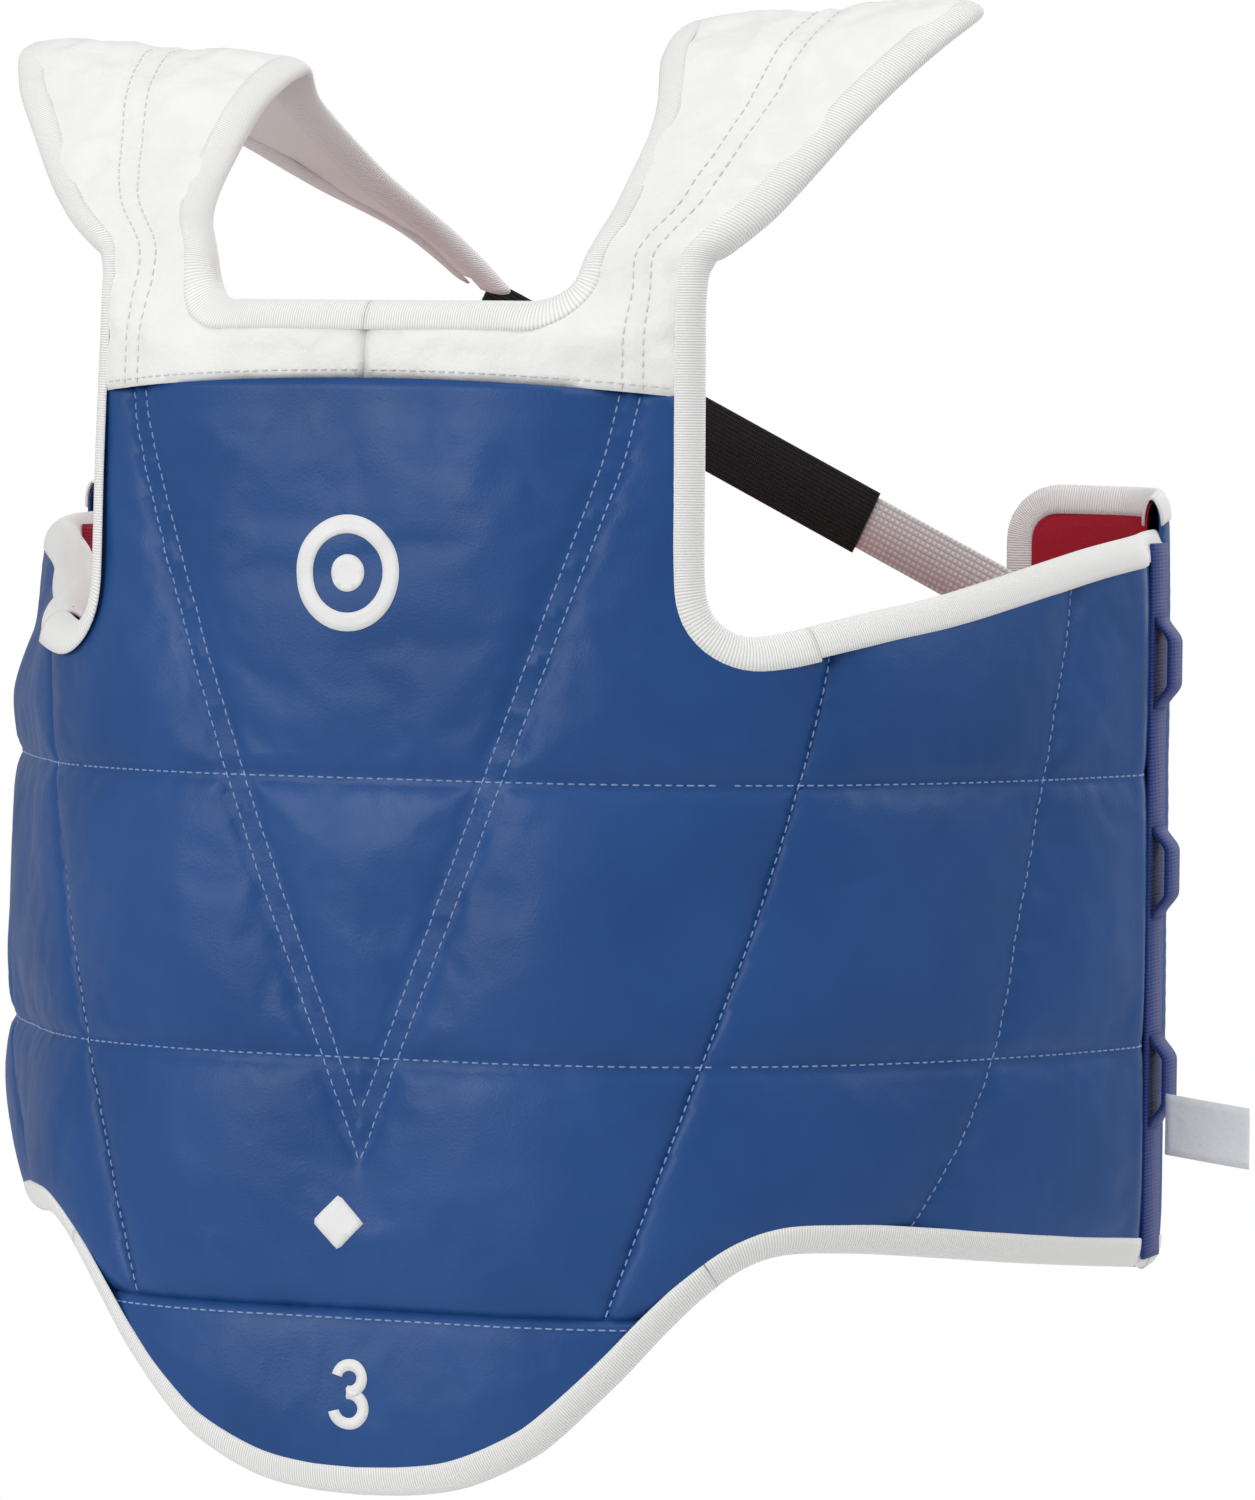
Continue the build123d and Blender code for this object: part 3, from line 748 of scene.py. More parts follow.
ELASTIC = ribbed("black_elastic", (0.004, 0.004, 0.005), (0.022, 0.022, 0.024), 1.0, 1.9, 0.7)
BLUE_THREAD = thread("blue_thread", (0.16, 0.27, 0.52), (0.32, 0.45, 0.70))
WHITE_THREAD = thread("white_thread", (0.60, 0.59, 0.55), (0.80, 0.79, 0.75))
SATIN = coated_cloth("label_satin", (0.78, 0.78, 0.80), (0.86, 0.86, 0.88))
PRINT = vinyl("white_print", (0.80, 0.80, 0.80), (0.86, 0.86, 0.86), 0.5)


# ---------------------------------------------------------------- joints


def wing_blend(piece, hand, side):
    """Work out the direction across the wing, square to its hinge axis, then bake the piece's
    transform into its mesh; nothing is bent.
    """
    joint = WING_JOINT[f"{hand}_wing_swing"]
    pos, axis = Vector(joint["pos_m"]), Vector(joint["axis"]).normalized()
    if axis.z < 0:
        axis = -axis
    facing = Vector((-side * math.sin(WING_FACE), math.cos(WING_FACE), 0))
    across = facing.cross(axis) * side
    across.normalize()
    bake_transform(piece)


def flap_blend(piece, hand):
    joint = WING_JOINT[f"{hand}_rear_flap_fold"]
    x, y, z = joint["pos_m"]
    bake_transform(piece)


def lower_blend(piece):
    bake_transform(piece)


# ---------------------------------------------------------------- trunk


def lining_depth(p, q):
    return relief(p, q, out=False) - 1.0


def yoke_line(low, high, step):
    """The seam under the yoke, which drops a little towards the armholes."""
    p = np.linspace(low, high, int(abs(high - low) / step) + 2)
    return np.stack([p, YOKE_Q - 8 * (p / ARM_P) ** 2], axis=1)


def between(line, low, high):
    return cut_at(line, 0, low, high)


def centre_outline(step=4.0):
    top = TOP_EDGE[TOP_EDGE[:, 1] <= YOKE_Q + 0.01]
    yoke = yoke_line(-ARM_P, ARM_P, step)
    top = top[top[:, 1] < yoke[-1, 1] - 1]
    arm = resample(np.vstack([yoke[-1:], between(top, 0, FIRST[0, 0] - 1), FIRST[:1]]), step)
    ridge = resample(np.array([(114, SEAM_Q), (-114, SEAM_Q)]), step)
    left = flipped(resample(FIRST, step))[::-1]
    return np.vstack([
        yoke[:-1], arm[:-1], resample(FIRST, step)[:-1], ridge[:-1], left[:-1],
        flipped(arm)[::-1][:-1],
    ])


def side_outline(side, step=4.0):
    rear_end = np.array([(P_END + 2, 88.3), (P_END + 2, 413.2)])
    low = BOTTOM_EDGE[(BOTTOM_EDGE[:, 1] >= SEAM_Q) & (BOTTOM_EDGE[:, 0] > 100)]
    low = np.vstack([[(SEAM_END, SEAM_Q)], between(low, SEAM_END + 1, P_END), rear_end[:1]])
    top = np.vstack([rear_end[1:], between(TOP_EDGE, FIRST[0, 0] + 1, P_END)[::-1], FIRST[:1]])
    start = resample(np.array([(114, SEAM_Q), (SEAM_END, SEAM_Q)]), step)
    loop = np.vstack([
        start[:-1], resample(low, step)[:-1], resample(rear_end, step)[:-1],
        resample(top, step)[:-1], resample(FIRST, step)[:-1],
    ])
    return on_side(loop, side)


def lower_outline(step=4.0):
    low = BOTTOM_EDGE[BOTTOM_EDGE[:, 1] <= SEAM_Q - 1]
    low = np.vstack([low, [(SEAM_END, SEAM_Q)]])
    low = resample(low, step)
    ridge = resample(np.array([(SEAM_END, SEAM_Q), (-SEAM_END, SEAM_Q)]), step)
    return np.vstack([low[:-1], ridge[:-1], flipped(low)[::-1][:-1]])


def inner_lines(lines, outline):
    """Seam stretches strictly inside an outline, to run triangle edges along them."""
    rim = np.vstack([outline, outline[:1]])
    kept = []
    for line in lines:
        pts = resample(line, 4.0)
        inside = inside_polygon(pts, outline) & (distance(pts, [rim]) > 2.2)
        stretches = np.split(np.arange(len(pts)), np.nonzero(np.diff(inside))[0] + 1)
        kept += [pts[run] for run in stretches if inside[run[0]] and len(run) > 2]
    return kept


def inside_polygon(pts, poly):
    inside = np.zeros(len(pts), bool)
    a, b = poly, np.roll(poly, -1, axis=0)
    for (x1, y1), (x2, y2) in zip(a, b):
        crosses = (y1 > pts[:, 1]) != (y2 > pts[:, 1])
        at = (x2 - x1) * (pts[:, 1] - y1) / (y2 - y1 + 1e-12) + x1
        inside ^= crosses & (pts[:, 0] < at)
    return inside


def trunk_skins():
    rows = [cross_seam(q) for q in CROSS_SEAMS]
    vs = both(V_OUT) + both(V_IN)
    for layer, depth, thick, colour in (
        ("cover", relief, 1.0, BLUE), ("lining", lining_depth, 1.0, RED)
    ):
        outline = centre_outline()
        puff = (PUFF, SPARE) if layer == "cover" else None
        piece = skin(
            f"front_{layer}_skin", outline, inner_lines(rows + vs, outline), trunk, depth,
            thick, colour, settled=puff,
        )
        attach(piece, "front")
        names = ["front_cover", "front_foam_core"] if layer == "cover" else ["front_lining"]
        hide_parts(*names)
        outline = lower_outline()
        piece = skin(
            f"lower_flap_{layer}_skin", outline, [], trunk, depth, thick, colour, settled=puff
        )
        lower_blend(piece)
        names = ["lower_flap_cover", "lower_flap_foam_core"]
        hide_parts(*(names if layer == "cover" else ["lower_flap_lining"]))
        for hand, side in HANDS:
            outline = side_outline(side)
            lines = rows + [on_side(SECOND, side)]
            piece = skin(
                f"{hand}_side_{layer}_skin", outline, inner_lines(lines, outline), trunk,
                depth, thick, colour, settled=puff,
            )
            wing_blend(piece, hand, side)
            names = [f"{hand}_wing_cover", f"{hand}_wing_foam_core"]
            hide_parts(*(names if layer == "cover" else [f"{hand}_wing_lining"]))


def thread_runs():
    """Every quilting line of the trunk in blue thread, split at the bodies that carry them."""
    arm = [np.array([(-P_END + 4, q), (P_END - 4, q)]) for q in CROSS_SEAMS]
    centre = both(V_OUT) + both(V_IN) + [between(resample(r, 2), -165, 165) for r in arm]
    piece = stitches("front_quilting", centre, trunk, relief, BLUE_THREAD)
    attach(piece, "front")
    for hand, side in HANDS:
        rows = [on_side(np.array([(167, q), (P_END - 3, q)]), side) for q in CROSS_SEAMS]
        runs = rows + [on_side(FIRST[3:], side), on_side(SECOND[3:-3], side)]
        piece = stitches(f"{hand}_side_quilting", runs, trunk, relief, BLUE_THREAD)
        wing_blend(piece, hand, side)
    ridge = np.array([(-134, SEAM_Q - 4), (134, SEAM_Q - 4)])
    piece = stitches("ridge_topstitch", [ridge], trunk, relief, BLUE_THREAD)
    lower_blend(piece)


def bindings():
    """White tape round the trunk's lower edge and the wings' tops."""
    low = BOTTOM_EDGE[BOTTOM_EDGE[:, 0] <= 165]
    run = np.vstack([flipped(low)[::-1][:-1], low])
    piece = tape("lower_binding_tape", resample(run, 3), 1, trunk, PAD / 2, PAD / 2)
    lower_blend(piece)
    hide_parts("lower_flap_binding")
    for hand, side in HANDS:
        waist = on_side(resample(between(BOTTOM_EDGE, 163, P_END + 27), 3), side)
        half = pad_half(waist[:, 0])
        piece = tape(f"{hand}_waist_tape", waist, side, trunk, half, PAD / 2)
        wing_blend(piece, hand, side)
        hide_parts(f"{hand}_waist_binding", f"{hand}_wing_bottom_binding")
        top = TOP_EDGE[TOP_EDGE[:, 1] < YOKE_Q]
        top = on_side(resample(between(top, 200, P_END + 27), 3), side)
        piece = tape(f"{hand}_wing_top_tape", top, -side, trunk, pad_half(top[:, 0]), PAD / 2)
        wing_blend(piece, hand, side)
        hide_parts(f"{hand}_wing_top_binding")


# ---------------------------------------------------------------- yoke and shoulders


def strap_thick(q):
    return along_rows(ROW_THICK, np.maximum(q, ROW_Q[0]))[:, 0]


def strap_edges(step):
    q = np.arange(STRAP_Q, TAIL_Q + step, step)
    q[-1] = TAIL_Q
    half = strap_half(q)
    return np.stack([STRAP_P - half, q], axis=1), np.stack([STRAP_P + half, q], axis=1)


def neck_corner(step):
    turn = np.radians(np.linspace(-90, 0, 9))
    return np.stack([72.4 + 18 * np.cos(turn), 530 + 18 * np.sin(turn)], axis=1)


STRAP_INNER, STRAP_OUTER = strap_edges(4.0)
ARM_SIDE = np.array([(ARM_P, YOKE_Q - 8), (ARM_P, 505), (ARM_P, STRAP_Q - 3)], float)


def yoke_outline(step=4.0):
    return np.vstack([
        yoke_line(0, ARM_P, step)[:-1],
        resample(ARM_SIDE, step),
        resample(STRAP_OUTER, step)[1:],
        resample(STRAP_INNER, step)[::-1][:-1],
        neck_corner(step)[::-1],
        resample([(68, NECK_Q), (0, NECK_Q)], step),
        [(0, 497)],
    ])


def strap_lines():
    """The double stitch rows that climb from the V tops over the crest."""
    rows = []
    for offset in (0.0, 8.8):
        q = np.arange(YOKE_Q - 5, ROW_Q[8] + 10, 6.0)
        at = 117.5 + offset + 0 * q
        half = np.where(q > STRAP_Q, strap_half(np.maximum(q, STRAP_Q)), STRAP_HALF)
        rows.append(np.stack([STRAP_P + (at - STRAP_P) * (half / STRAP_HALF) ** 0.35, q], axis=1))
    return rows


STRAP_ROWS = strap_lines()


def white_relief(p, q, out=True):
    """Depth of the yoke's and strap's outer face, or of their lining."""
    p, q = (np.array(v, float) for v in np.broadcast_arrays(p, q))
    pts = np.stack([p, q], axis=1)
    rim = [
        np.vstack([ARM_SIDE, STRAP_OUTER]), STRAP_INNER, neck_corner(4),
        np.array([(72.4, NECK_Q), (-20, NECK_Q)]),
    ]
    edge = distance(pts, rim)
    seam = distance(pts, STRAP_ROWS)
    base_seam = np.minimum(np.abs(q - YOKE_Q + 8 * (p / ARM_P) ** 2), np.abs(p))
    half = strap_thick(q) / 2
    ripple = 1.5 * rough(pts * np.array([0.6, 1.5]), 26, 2.4) + 0.7 * rough(pts, 11, 8.1)
    lift = 2.0 * (1 - np.exp(-edge / 22)) + ripple * smooth(edge / 14)
    lift -= 1.5 * np.exp(-seam / 5) + 1.6 * np.exp(-base_seam / 5)
    share = edge_share(edge)
    return half - half * share - lift if out else half + half * share + lift * 0.6


def white_lining(p, q):
    return white_relief(p, q, out=False) - 0.9


def shoulders():
    for hand, side in HANDS:
        chart = strap_of(side)
        outline = yoke_outline()
        for layer, depth in (("cover", white_relief), ("lining", white_lining)):
            rows = inner_lines(STRAP_ROWS, outline)
            piece = skin(
                f"{hand}_shoulder_{layer}_skin", outline, rows, chart, depth, 0.9, WHITE,
                settled=(0.25, 0.022) if layer == "cover" else None,
            )
            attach(piece, "front")
            nodes = [f"{hand}_yoke_{layer}", f"{hand}_shoulder_{layer}"]
            if layer == "cover":
                nodes.append(f"{hand}_shoulder_foam_core")
                if side > 0:
                    nodes.append("yoke_foam_core")
            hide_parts(*nodes)
        above = yoke_line(2, ARM_P - 13, 3) + np.array([0, 3.5])
        rows = STRAP_ROWS + [above]
        piece = stitches(f"{hand}_strap_stitching", rows, chart, white_relief, WHITE_THREAD)
        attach(piece, "front")
        outer = np.vstack([resample(ARM_SIDE, 3)[:-1], resample(STRAP_OUTER, 3)[1:]])
        arm = resample(between(TOP_EDGE[TOP_EDGE[:, 1] < YOKE_Q - 11], 0, 205)[::-1], 3)
        path = np.vstack([arm[:-1], outer])
        thick = strap_thick(path[:, 1])
        name = f"{hand}_armhole_tape"
        piece = tape(name, path, 1, chart, thick / 2, thick / 2, ARM_TAPE_WIDTH)
        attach(piece, "front")
        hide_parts(f"{hand}_armhole_binding", f"{hand}_shoulder_binding")
        neck = np.vstack([[(0, NECK_Q)], [(40, NECK_Q)], neck_corner(3), STRAP_INNER[1:]])
        neck = resample(neck, 3)
        thick = strap_thick(neck[:, 1])
        piece = tape(f"{hand}_neck_tape", neck, -1, chart, thick / 2, thick / 2)
        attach(piece, "front")
        if side > 0:
            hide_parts("neck_binding")


# ---------------------------------------------------------------- lacing edge and rear flaps


def flap_rim():
    """Bound edge of a rear flap, from its low end round the free edge to its top end."""
    start = P_END + WEB_WIDTH - 3
    c, low, top = FLAP_CORNER, FLAP_LOW_Q, FLAP_TOP_Q
    up = np.radians(np.linspace(0, 90, 9))
    round_top = np.stack([P_TIP - c + c * np.cos(up), top - c + c * np.sin(up)], axis=1)
    down = np.radians(np.linspace(-90, 0, 9))
    round_low = np.stack([P_TIP - c + c * np.cos(down), low + c + c * np.sin(down)], axis=1)
    return np.vstack([
        [(start - 3, low - 1.2), (start + 14, low)], round_low,
        round_top, [(start + 14, top - 1), (start - 3, top - 5)],
    ])


FLAP_RIM = resample(flap_rim(), 3.0)


def flap_relief(p, q, out=True):
    """Depth of a rear flap's outer face, or of its lining."""
    p, q = (np.array(v, float) for v in np.broadcast_arrays(p, q))
    a = np.abs(p)
    pts = np.stack([a, q], axis=1)
    edge = distance(pts, [FLAP_RIM])
    half = pad_half(a) * edge_share(edge)
    lift = 1.6 * (1 - np.exp(-edge / 18)) * smooth((a - P_KNEE) / 20) + 0.6 * rough(pts, 30, 9.2)
    lift = lift * smooth((a - P_END - WEB_WIDTH) / 12)
    return PAD / 2 - half - lift if out else PAD / 2 + half + lift - 1.0


def flap_lining(p, q):
    return flap_relief(p, q, out=False)


def rear_flaps():
    for hand, side in HANDS:
        chart = trunk_of(side)
        outline = np.vstack([FLAP_RIM[1:-1], resample([FLAP_RIM[-2], FLAP_RIM[1]], 4)[1:-1]])
        for layer, depth, colour in (("cover", flap_relief, BLUE), ("lining", flap_lining, RED)):
            piece = skin(
                f"{hand}_rear_flap_{layer}_skin", outline, [], chart, depth, 0.9, colour
            )
            flap_blend(piece, hand)
            nodes = [f"{hand}_rear_flap_{layer}"]
            if layer == "cover":
                nodes.append(f"{hand}_rear_flap_foam_core")
            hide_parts(*nodes)
        half = pad_half(FLAP_RIM[:, 0])
        piece = tape(f"{hand}_rear_flap_tape", FLAP_RIM, 1, chart, half, PAD / 2)
        flap_blend(piece, hand)
        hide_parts(f"{hand}_rear_flap_binding")


def ribbon(name, path, across, thick, width, material):
    """A flat strap along a 3-D path: across is its width direction at each point."""
    path = np.array(path, float)
    run = np.gradient(path, axis=0)
    run /= np.linalg.norm(run, axis=1)[:, None]
    across = np.broadcast_to(np.array(across, float), path.shape)
    across = across - run * (across * run).sum(1)[:, None]
    across /= np.linalg.norm(across, axis=1)[:, None]
    face = np.cross(run, across)
    w, t, soft = width / 2, thick / 2, 0.5
    shape = (
        (-w, -t * soft), (-w + soft, -t), (w - soft, -t), (w, -t * soft),
        (w, t * soft), (w - soft, t), (-w + soft, t), (-w, t * soft),
    )
    lines = zip(path, across, face)
    rings = np.array([[p + a * x + f * y for x, y in shape] for p, a, f in lines])
    uv = np.array([[(x / 10, s / 10) for x, _ in shape] for s in run_along(path)])
    return sweep(name, rings, material, uv.reshape(-1, 2))


def lacing():
    """Webbing down each side of a wing's rear edge, with three loops sewn on."""
    low, high = node_box("left_outer_lacing_loops")
    middle = (low[2] + high[2]) / 2
    mid_p = P_END + WEB_WIDTH / 2 + 0.5
    for hand, side in HANDS:
        chart = trunk_of(side)
        for layer, sign, web in (("outer", -1, BLUE_WEB), ("inner", 1, RED_WEB)):
            level = PAD / 2 + sign * WEB_LEVEL
            q = np.arange(92.0, 414.0, 6.0)
            path = chart(np.full(len(q), mid_p), q, level)
            across = chart(mid_p + 1, 200, level) - chart(mid_p, 200, level)
            name = f"{hand}_{layer}_webbing_strip"
            piece = ribbon(name, path, across[0], 1.8, WEB_WIDTH + 2, web)
            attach(piece, f"{hand}_wing")
            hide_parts(f"{hand}_{layer}_lacing_webbing")
            for k, rise_q in enumerate((0, LOOP_PITCH, -LOOP_PITCH)):
                t = np.linspace(-1, 1, 33)
                stand = LOOP_STAND * smooth((1 - np.abs(t)) / 0.55)
                rise = level + sign * (1.6 + stand)
                path = chart(np.full(len(t), mid_p), middle + rise_q + 20 * t, rise)
                name = f"{hand}_{layer}_lacing_loop_{k + 1}"
                loop = ribbon(name, path, across[0], 1.9, LOOP_WIDTH, web)
                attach(loop, f"{hand}_wing")
                if k == 0:
                    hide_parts(f"{hand}_{layer}_lacing_loops")


def back_straps():
    """Elastics from the strap ends to the opposite wings, each sewn to a grey webbing tab."""
    for hand, side in HANDS:
        other = "right" if side > 0 else "left"
        low, high = node_box(f"{hand}_elastic_strap")
        drop = (low[1] + high[1]) / 2
        shift = TAIL_SHIFT[side]
        tail = np.array([side * (67.0 + shift), drop - 9, 511.5])
        start = np.array([side * (55.0 + shift), drop - 6, 505.5])
        end = np.array([-side * 122.0, drop + 2, 417.0])
        anchor = trunk_of(-side)(P_END - 14, 362.0, PAD + 3.5)[0]
        run = [tail, start, start * 0.88 + end * 0.12, start * 0.5 + end * 0.5, end]
        path = spline(run, 4)
        across = np.cross(np.gradient(path, axis=0), (0, 1, 0))
        piece = ribbon(f"{hand}_elastic", path, across, 1.6, ELASTIC_WIDTH, ELASTIC)
        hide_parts(f"{hand}_elastic_strap")
        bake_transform(piece)
        onward = (anchor - end) / np.linalg.norm(anchor - end)
        t = np.linspace(0, 1, 40)[:, None]
        first = end - onward * 16 + np.array([0, 2.0, 0])
        path = first + (anchor - first) * t
        across = np.cross(anchor - end, (0, 1, 0))
        tab = ribbon(f"{other}_tab_webbing", path, across, 2.0, TAB_WIDTH, GREY_WEB)
        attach(tab, f"{other}_wing")
        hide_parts(f"{other}_strap_tab")


# ---------------------------------------------------------------- prints and label


def ring_outline(cx, cq, radius, count=72):
    turn = np.linspace(0, 2 * math.pi, count, endpoint=False)
    return np.stack([cx + radius * np.cos(turn), cq + radius * np.sin(turn)], axis=1)


def print_depth(p, q):
    """Depth of a print: on the cover as it lies after settling."""
    here = np.stack([np.atleast_1d(p), np.atleast_1d(q)], axis=1).astype(float)
    raised = np.zeros(len(here))
    for pts, shift, out in LIFTED:
        normal = out / np.linalg.norm(out, axis=1)[:, None]
        height = (shift * normal).sum(1)
        gap = ((here[:, None, :] - pts[None, :, :]) ** 2).sum(2)
        near = np.argsort(gap, axis=1)[:, :4]
        close = np.take_along_axis(gap, near, axis=1)
        weight = 1 / (close + 0.05)
        value = (height[near] * weight).sum(1) / weight.sum(1)
        raised = np.where(close[:, 0] < 36, value, raised)
    return relief(p, q) - raised - 0.3


PRINT_THICK = 0.25


def prints():
    """Plain marks on the chest and waist: a ring round a disc, and a diamond."""
    low, high = node_box("chest_emblem")
    cx, cq, size = (low[0] + high[0]) / 2, (low[2] + high[2]) / 2, (high[0] - low[0]) / 2
    outline = ring_outline(cx, cq, size * 0.32)
    disc = skin("chest_mark_disc", outline, [], trunk, print_depth, PRINT_THICK, PRINT, 2.5)
    faces = []
    rings = [ring_outline(cx, cq, size * r) for r in (0.68, 0.78, 0.88, 1.0)]
    count = len(rings[0])
    flat = np.vstack(rings)
    depth = print_depth(*flat.T)
    verts = np.vstack([trunk(*flat.T, depth), trunk(*flat.T, depth + PRINT_THICK)])
    n = len(flat)
    for r in range(3):
        for i in range(count):
            j = (i + 1) % count
            a, b = r * count + i, r * count + j
            c, d = b + count, a + count
            faces += [(a, d, c, b), (a + n, b + n, c + n, d + n)]
    for i in range(count):
        j = (i + 1) % count
        faces += [(i, j, j + n, i + n)]
        a, b = 3 * count + i, 3 * count + j
        faces += [(b, a, a + n, b + n)]
    ring = make("chest_mark_ring", verts, faces, PRINT)
    for piece in (disc, ring):
        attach(piece, "front")
    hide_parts("chest_emblem")
    low, high = node_box("waist_emblem")
    cx, cq, r = (low[0] + high[0]) / 2, (low[2] + high[2]) / 2, (high[0] - low[0]) / 2
    corners = [(cx + r, cq), (cx, cq + r), (cx - r, cq), (cx, cq - r), (cx + r, cq)]
    outline = resample(corners, 3)[:-1]
    mark = skin("waist_mark", outline, [], trunk, print_depth, PRINT_THICK, PRINT, 3)
    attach(mark, "front")
    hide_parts("waist_emblem")
    number()


def number():
    """The size number, a bold 3: two bowls that overlap at the waist."""
    low, high = node_box("size_number")
    cx, cq = (low[0] + high[0]) / 2 + 1, (low[2] + high[2]) / 2
    bowls = (("upper", 6.6, 6.0, 5.7, 170, -100), ("lower", -6.4, 6.9, 6.6, 100, -170))
    for name, rise, wide, tall, first, last in bowls:
        turn = np.radians(np.linspace(first, last, 40))
        spine = np.stack([cx + wide * np.cos(turn), cq + rise + tall * np.sin(turn)], axis=1)
        way = inward(spine, 1)
        flat = np.vstack([spine + way * 2.5, spine - way * 2.5])
        m, n = len(spine), len(flat)
        depth = print_depth(*flat.T) - (0.03 if name == "upper" else 0.0)
        top, under = trunk(*flat.T, depth), trunk(*flat.T, depth + PRINT_THICK)
        faces = []
        for i in range(m - 1):
            j = i + 1
            faces += [(i, i + m, j + m, j), (i + n, j + n, j + m + n, i + m + n)]
            faces += [(i, j, j + n, i + n), (i + m, i + m + n, j + m + n, j + m)]
        faces += [(0, n, m + n, m), (m - 1, 2 * m - 1, 2 * m - 1 + n, m - 1 + n)]
        bowl = make(f"size_digit_{name}", np.vstack([top, under]), faces, PRINT)
        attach(bowl, "lower_flap")
        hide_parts("size_number")


def label():
    """The blank care label: one strip folded at its free end, drooping a little."""
    low, high = node_box("care_label")
    length, height = high[0] - low[0], high[2] - low[2]
    y = (low[1] + high[1]) / 2
    turn = np.linspace(0, math.pi, 7)
    out = [(x, -0.5) for x in np.linspace(0.5, length - 1, 14)]
    fold = [(length - 1 + 0.5 * math.sin(t), -0.5 * math.cos(t)) for t in turn[1:-1]]
    back = [(x, 0.5) for x in np.linspace(length - 1, 0.5, 14)]
    profile = np.array(out + fold + back)
    cols = np.linspace(low[2], high[2], 9)
    sag, droop = 1.5 * (profile[:, 0] / length) ** 2, 2 + 0.13 * profile[:, 0]
    grid = np.array([
        [(low[0] + a, y + b + out_y, z - down) for z in cols]
        for (a, b), out_y, down in zip(profile, sag, droop)
    ])
    rows, count, _ = grid.shape
    run = np.gradient(profile, axis=0)
    run /= np.linalg.norm(run, axis=1)[:, None]
    side_way = np.stack([run[:, 1], -run[:, 0]], axis=1) * 0.12
    shift = np.zeros_like(grid)
    shift[:, :, 0] = side_way[:, 0][:, None]
    shift[:, :, 1] = side_way[:, 1][:, None]
    verts = np.vstack([(grid + shift).reshape(-1, 3), (grid - shift).reshape(-1, 3)])
    n, faces = rows * count, []
    for i in range(rows - 1):
        for j in range(count - 1):
            a, b = i * count + j, i * count + j + 1
            c, d = b + count, a + count
            faces += [(a, b, c, d), (a + n, d + n, c + n, b + n)]
    for i in range(rows - 1):
        a, d = i * count, (i + 1) * count
        faces += [(a, d, d + n, a + n)]
        b, c = a + count - 1, d + count - 1
        faces += [(b, b + n, c + n, c)]
    for j in range(count - 1):
        faces += [(j, j + n, j + 1 + n, j + 1)]
        a, b = (rows - 1) * count + j, (rows - 1) * count + j + 1
        faces += [(a, b, b + n, a + n)]
    tag = make("care_label_cloth", verts, faces, SATIN)
    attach(tag, "care_label")
    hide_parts("care_label")


# ---------------------------------------------------------------- stage


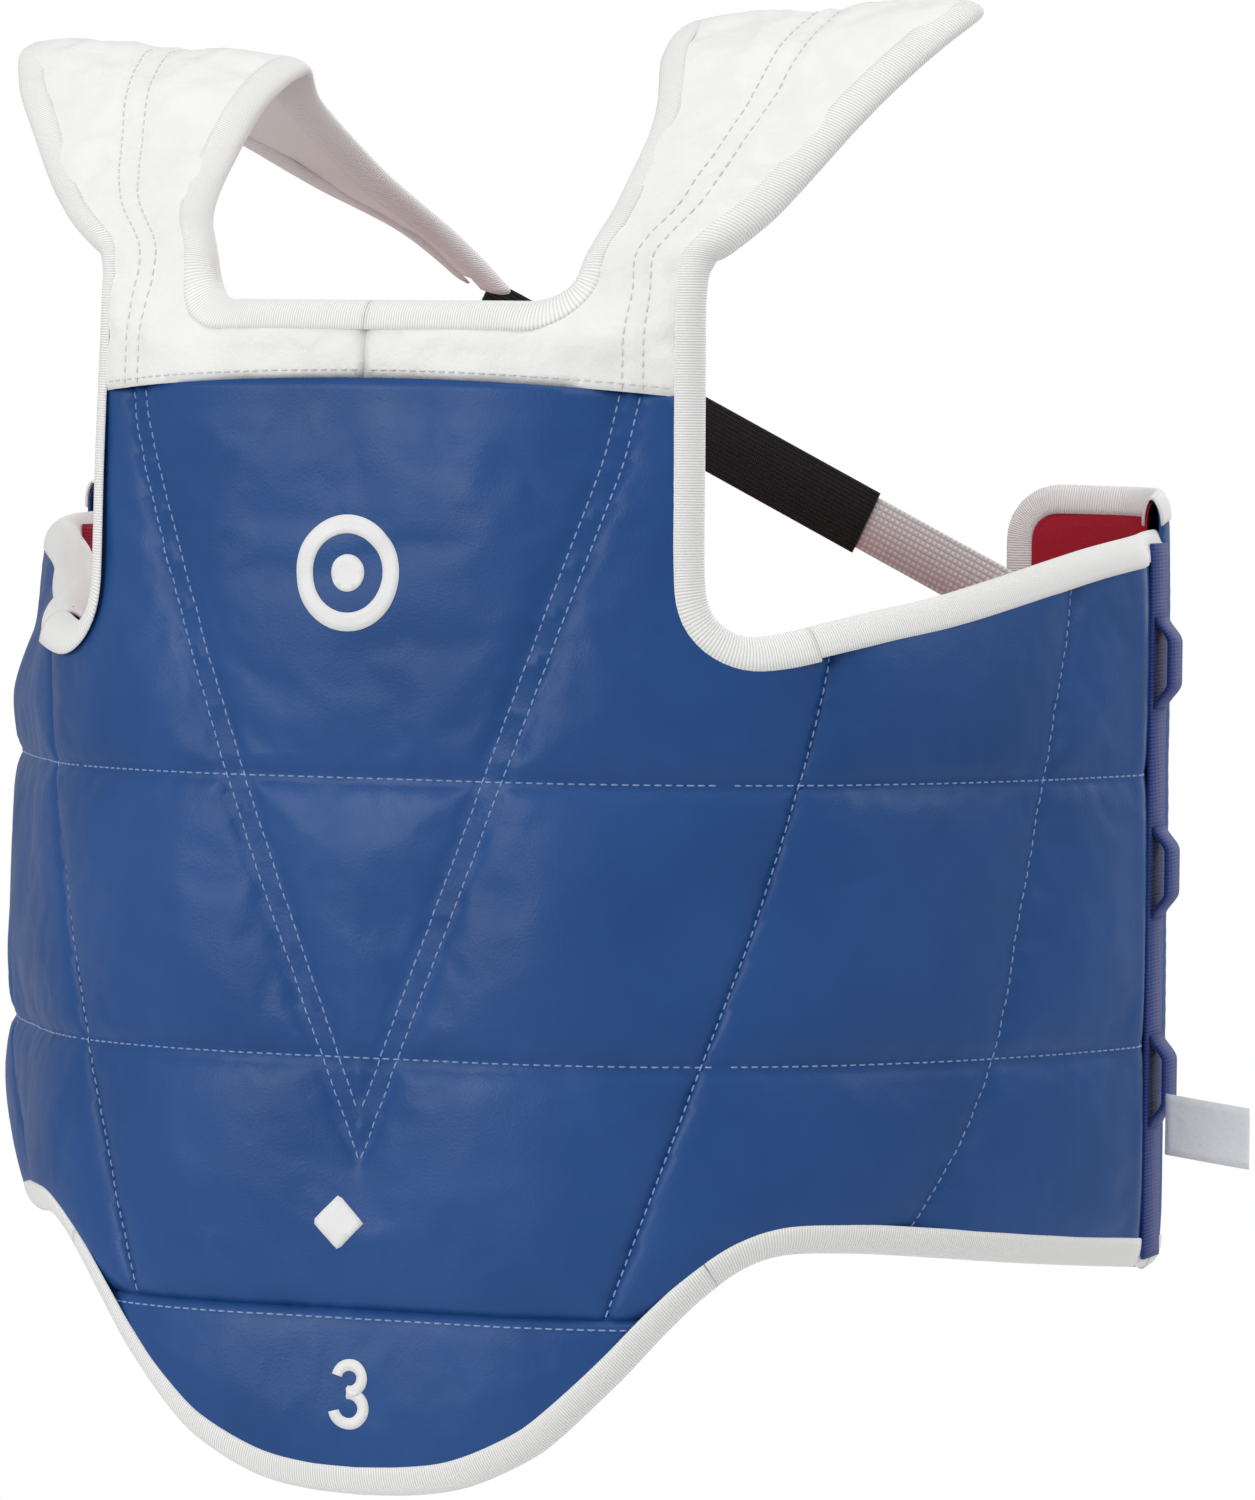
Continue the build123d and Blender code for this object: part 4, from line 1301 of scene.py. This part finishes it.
def studio():
    mesh = bpy.data.meshes.new("floor")
    ring = [(1.4 * math.cos(t), 1.4 * math.sin(t), -0.25)
            for t in np.linspace(0, 2 * math.pi, 96, endpoint=False)]
    mesh.from_pydata(ring, [], [tuple(range(96))])
    n = Nodes("pale_floor")
    colour = n.mix(n.noise(n.place(), 3.0), (0.80, 0.80, 0.80), (0.84, 0.84, 0.84))
    mesh.materials.append(n.finish(colour, 0.9, n.bump(n.noise(n.place(), 40.0), 0.02, 0.001)))
    floor = bpy.data.objects.new("floor", mesh)
    bpy.context.collection.objects.link(floor)
    world = bpy.data.worlds.new("studio")
    world.use_nodes = True
    tree = world.node_tree
    soft, backdrop = tree.nodes["Background"], tree.nodes.new("ShaderNodeBackground")
    soft.inputs[0].default_value = (1, 1, 1, 1)
    soft.inputs[1].default_value = 0.48
    backdrop.inputs[0].default_value = (1, 1, 1, 1)
    seen, mixed = tree.nodes.new("ShaderNodeLightPath"), tree.nodes.new("ShaderNodeMixShader")
    tree.links.new(seen.outputs["Is Camera Ray"], mixed.inputs[0])
    tree.links.new(soft.outputs[0], mixed.inputs[1])
    tree.links.new(backdrop.outputs[0], mixed.inputs[2])
    tree.links.new(mixed.outputs[0], tree.nodes["World Output"].inputs[0])
    bpy.context.scene.world = world
    bpy.context.scene.view_settings.view_transform = "Standard"
    for name, spot, size, power in (
        ("key", (-1.3, -2.7, 1.0), 1.6, 33), ("top", (0.6, -1.0, 3.0), 2.0, 26),
        ("side", (2.4, 0.3, 1.6), 1.2, 12), ("back", (0.4, 2.6, 1.4), 1.6, 34),
    ):
        lamp = bpy.data.lights.new(name, "AREA")
        lamp.shape, lamp.size, lamp.energy = "DISK", size, power
        light = bpy.data.objects.new(name, lamp)
        light.location = spot
        light.rotation_mode = "QUATERNION"
        aim = Vector((0, 0, 0.3)) - Vector(spot)
        light.rotation_quaternion = aim.to_track_quat("-Z", "Y")
        bpy.context.collection.objects.link(light)


def camera():
    """A long lens 4 m away. The focal length and the centre's offsets are in picture heights."""
    azimuth, elevation, roll = math.radians(25.35), math.radians(2.55), math.radians(0.61)
    away, focal, centre_right, centre_up = 4.0, 5.993333, 0.0687333, 0.0222667
    data = bpy.data.cameras.new("camera")
    data.sensor_fit = "VERTICAL"
    data.sensor_height = 24.0
    data.lens = data.sensor_height * focal
    level = math.cos(elevation)
    back = Vector((math.sin(azimuth) * level, -math.cos(azimuth) * level, math.sin(elevation)))
    right = Vector((math.cos(azimuth), math.sin(azimuth), 0))
    up = back.cross(right)
    aim = Vector((0, 0, 0.3))
    tilt_right = right * math.cos(roll) + up * math.sin(roll)
    tilt_up = up * math.cos(roll) - right * math.sin(roll)
    spot = aim + back * away
    look = (tilt_right * centre_right + tilt_up * centre_up - back * focal).normalized()
    cam = bpy.data.objects.new("camera", data)
    cam.location = spot
    z = -look
    x = (tilt_right - z * tilt_right.dot(z)).normalized()
    y = z.cross(x)
    cam.matrix_world = Matrix((
        (x.x, y.x, z.x, spot.x), (x.y, y.y, z.y, spot.y), (x.z, y.z, z.z, spot.z), (0, 0, 0, 1)
    ))
    data.clip_end = 100
    bpy.context.collection.objects.link(cam)
    bpy.context.scene.camera = cam


camera()
studio()
trunk_skins()
thread_runs()
bindings()
shoulders()
lacing()
rear_flaps()
back_straps()
prints()
label()
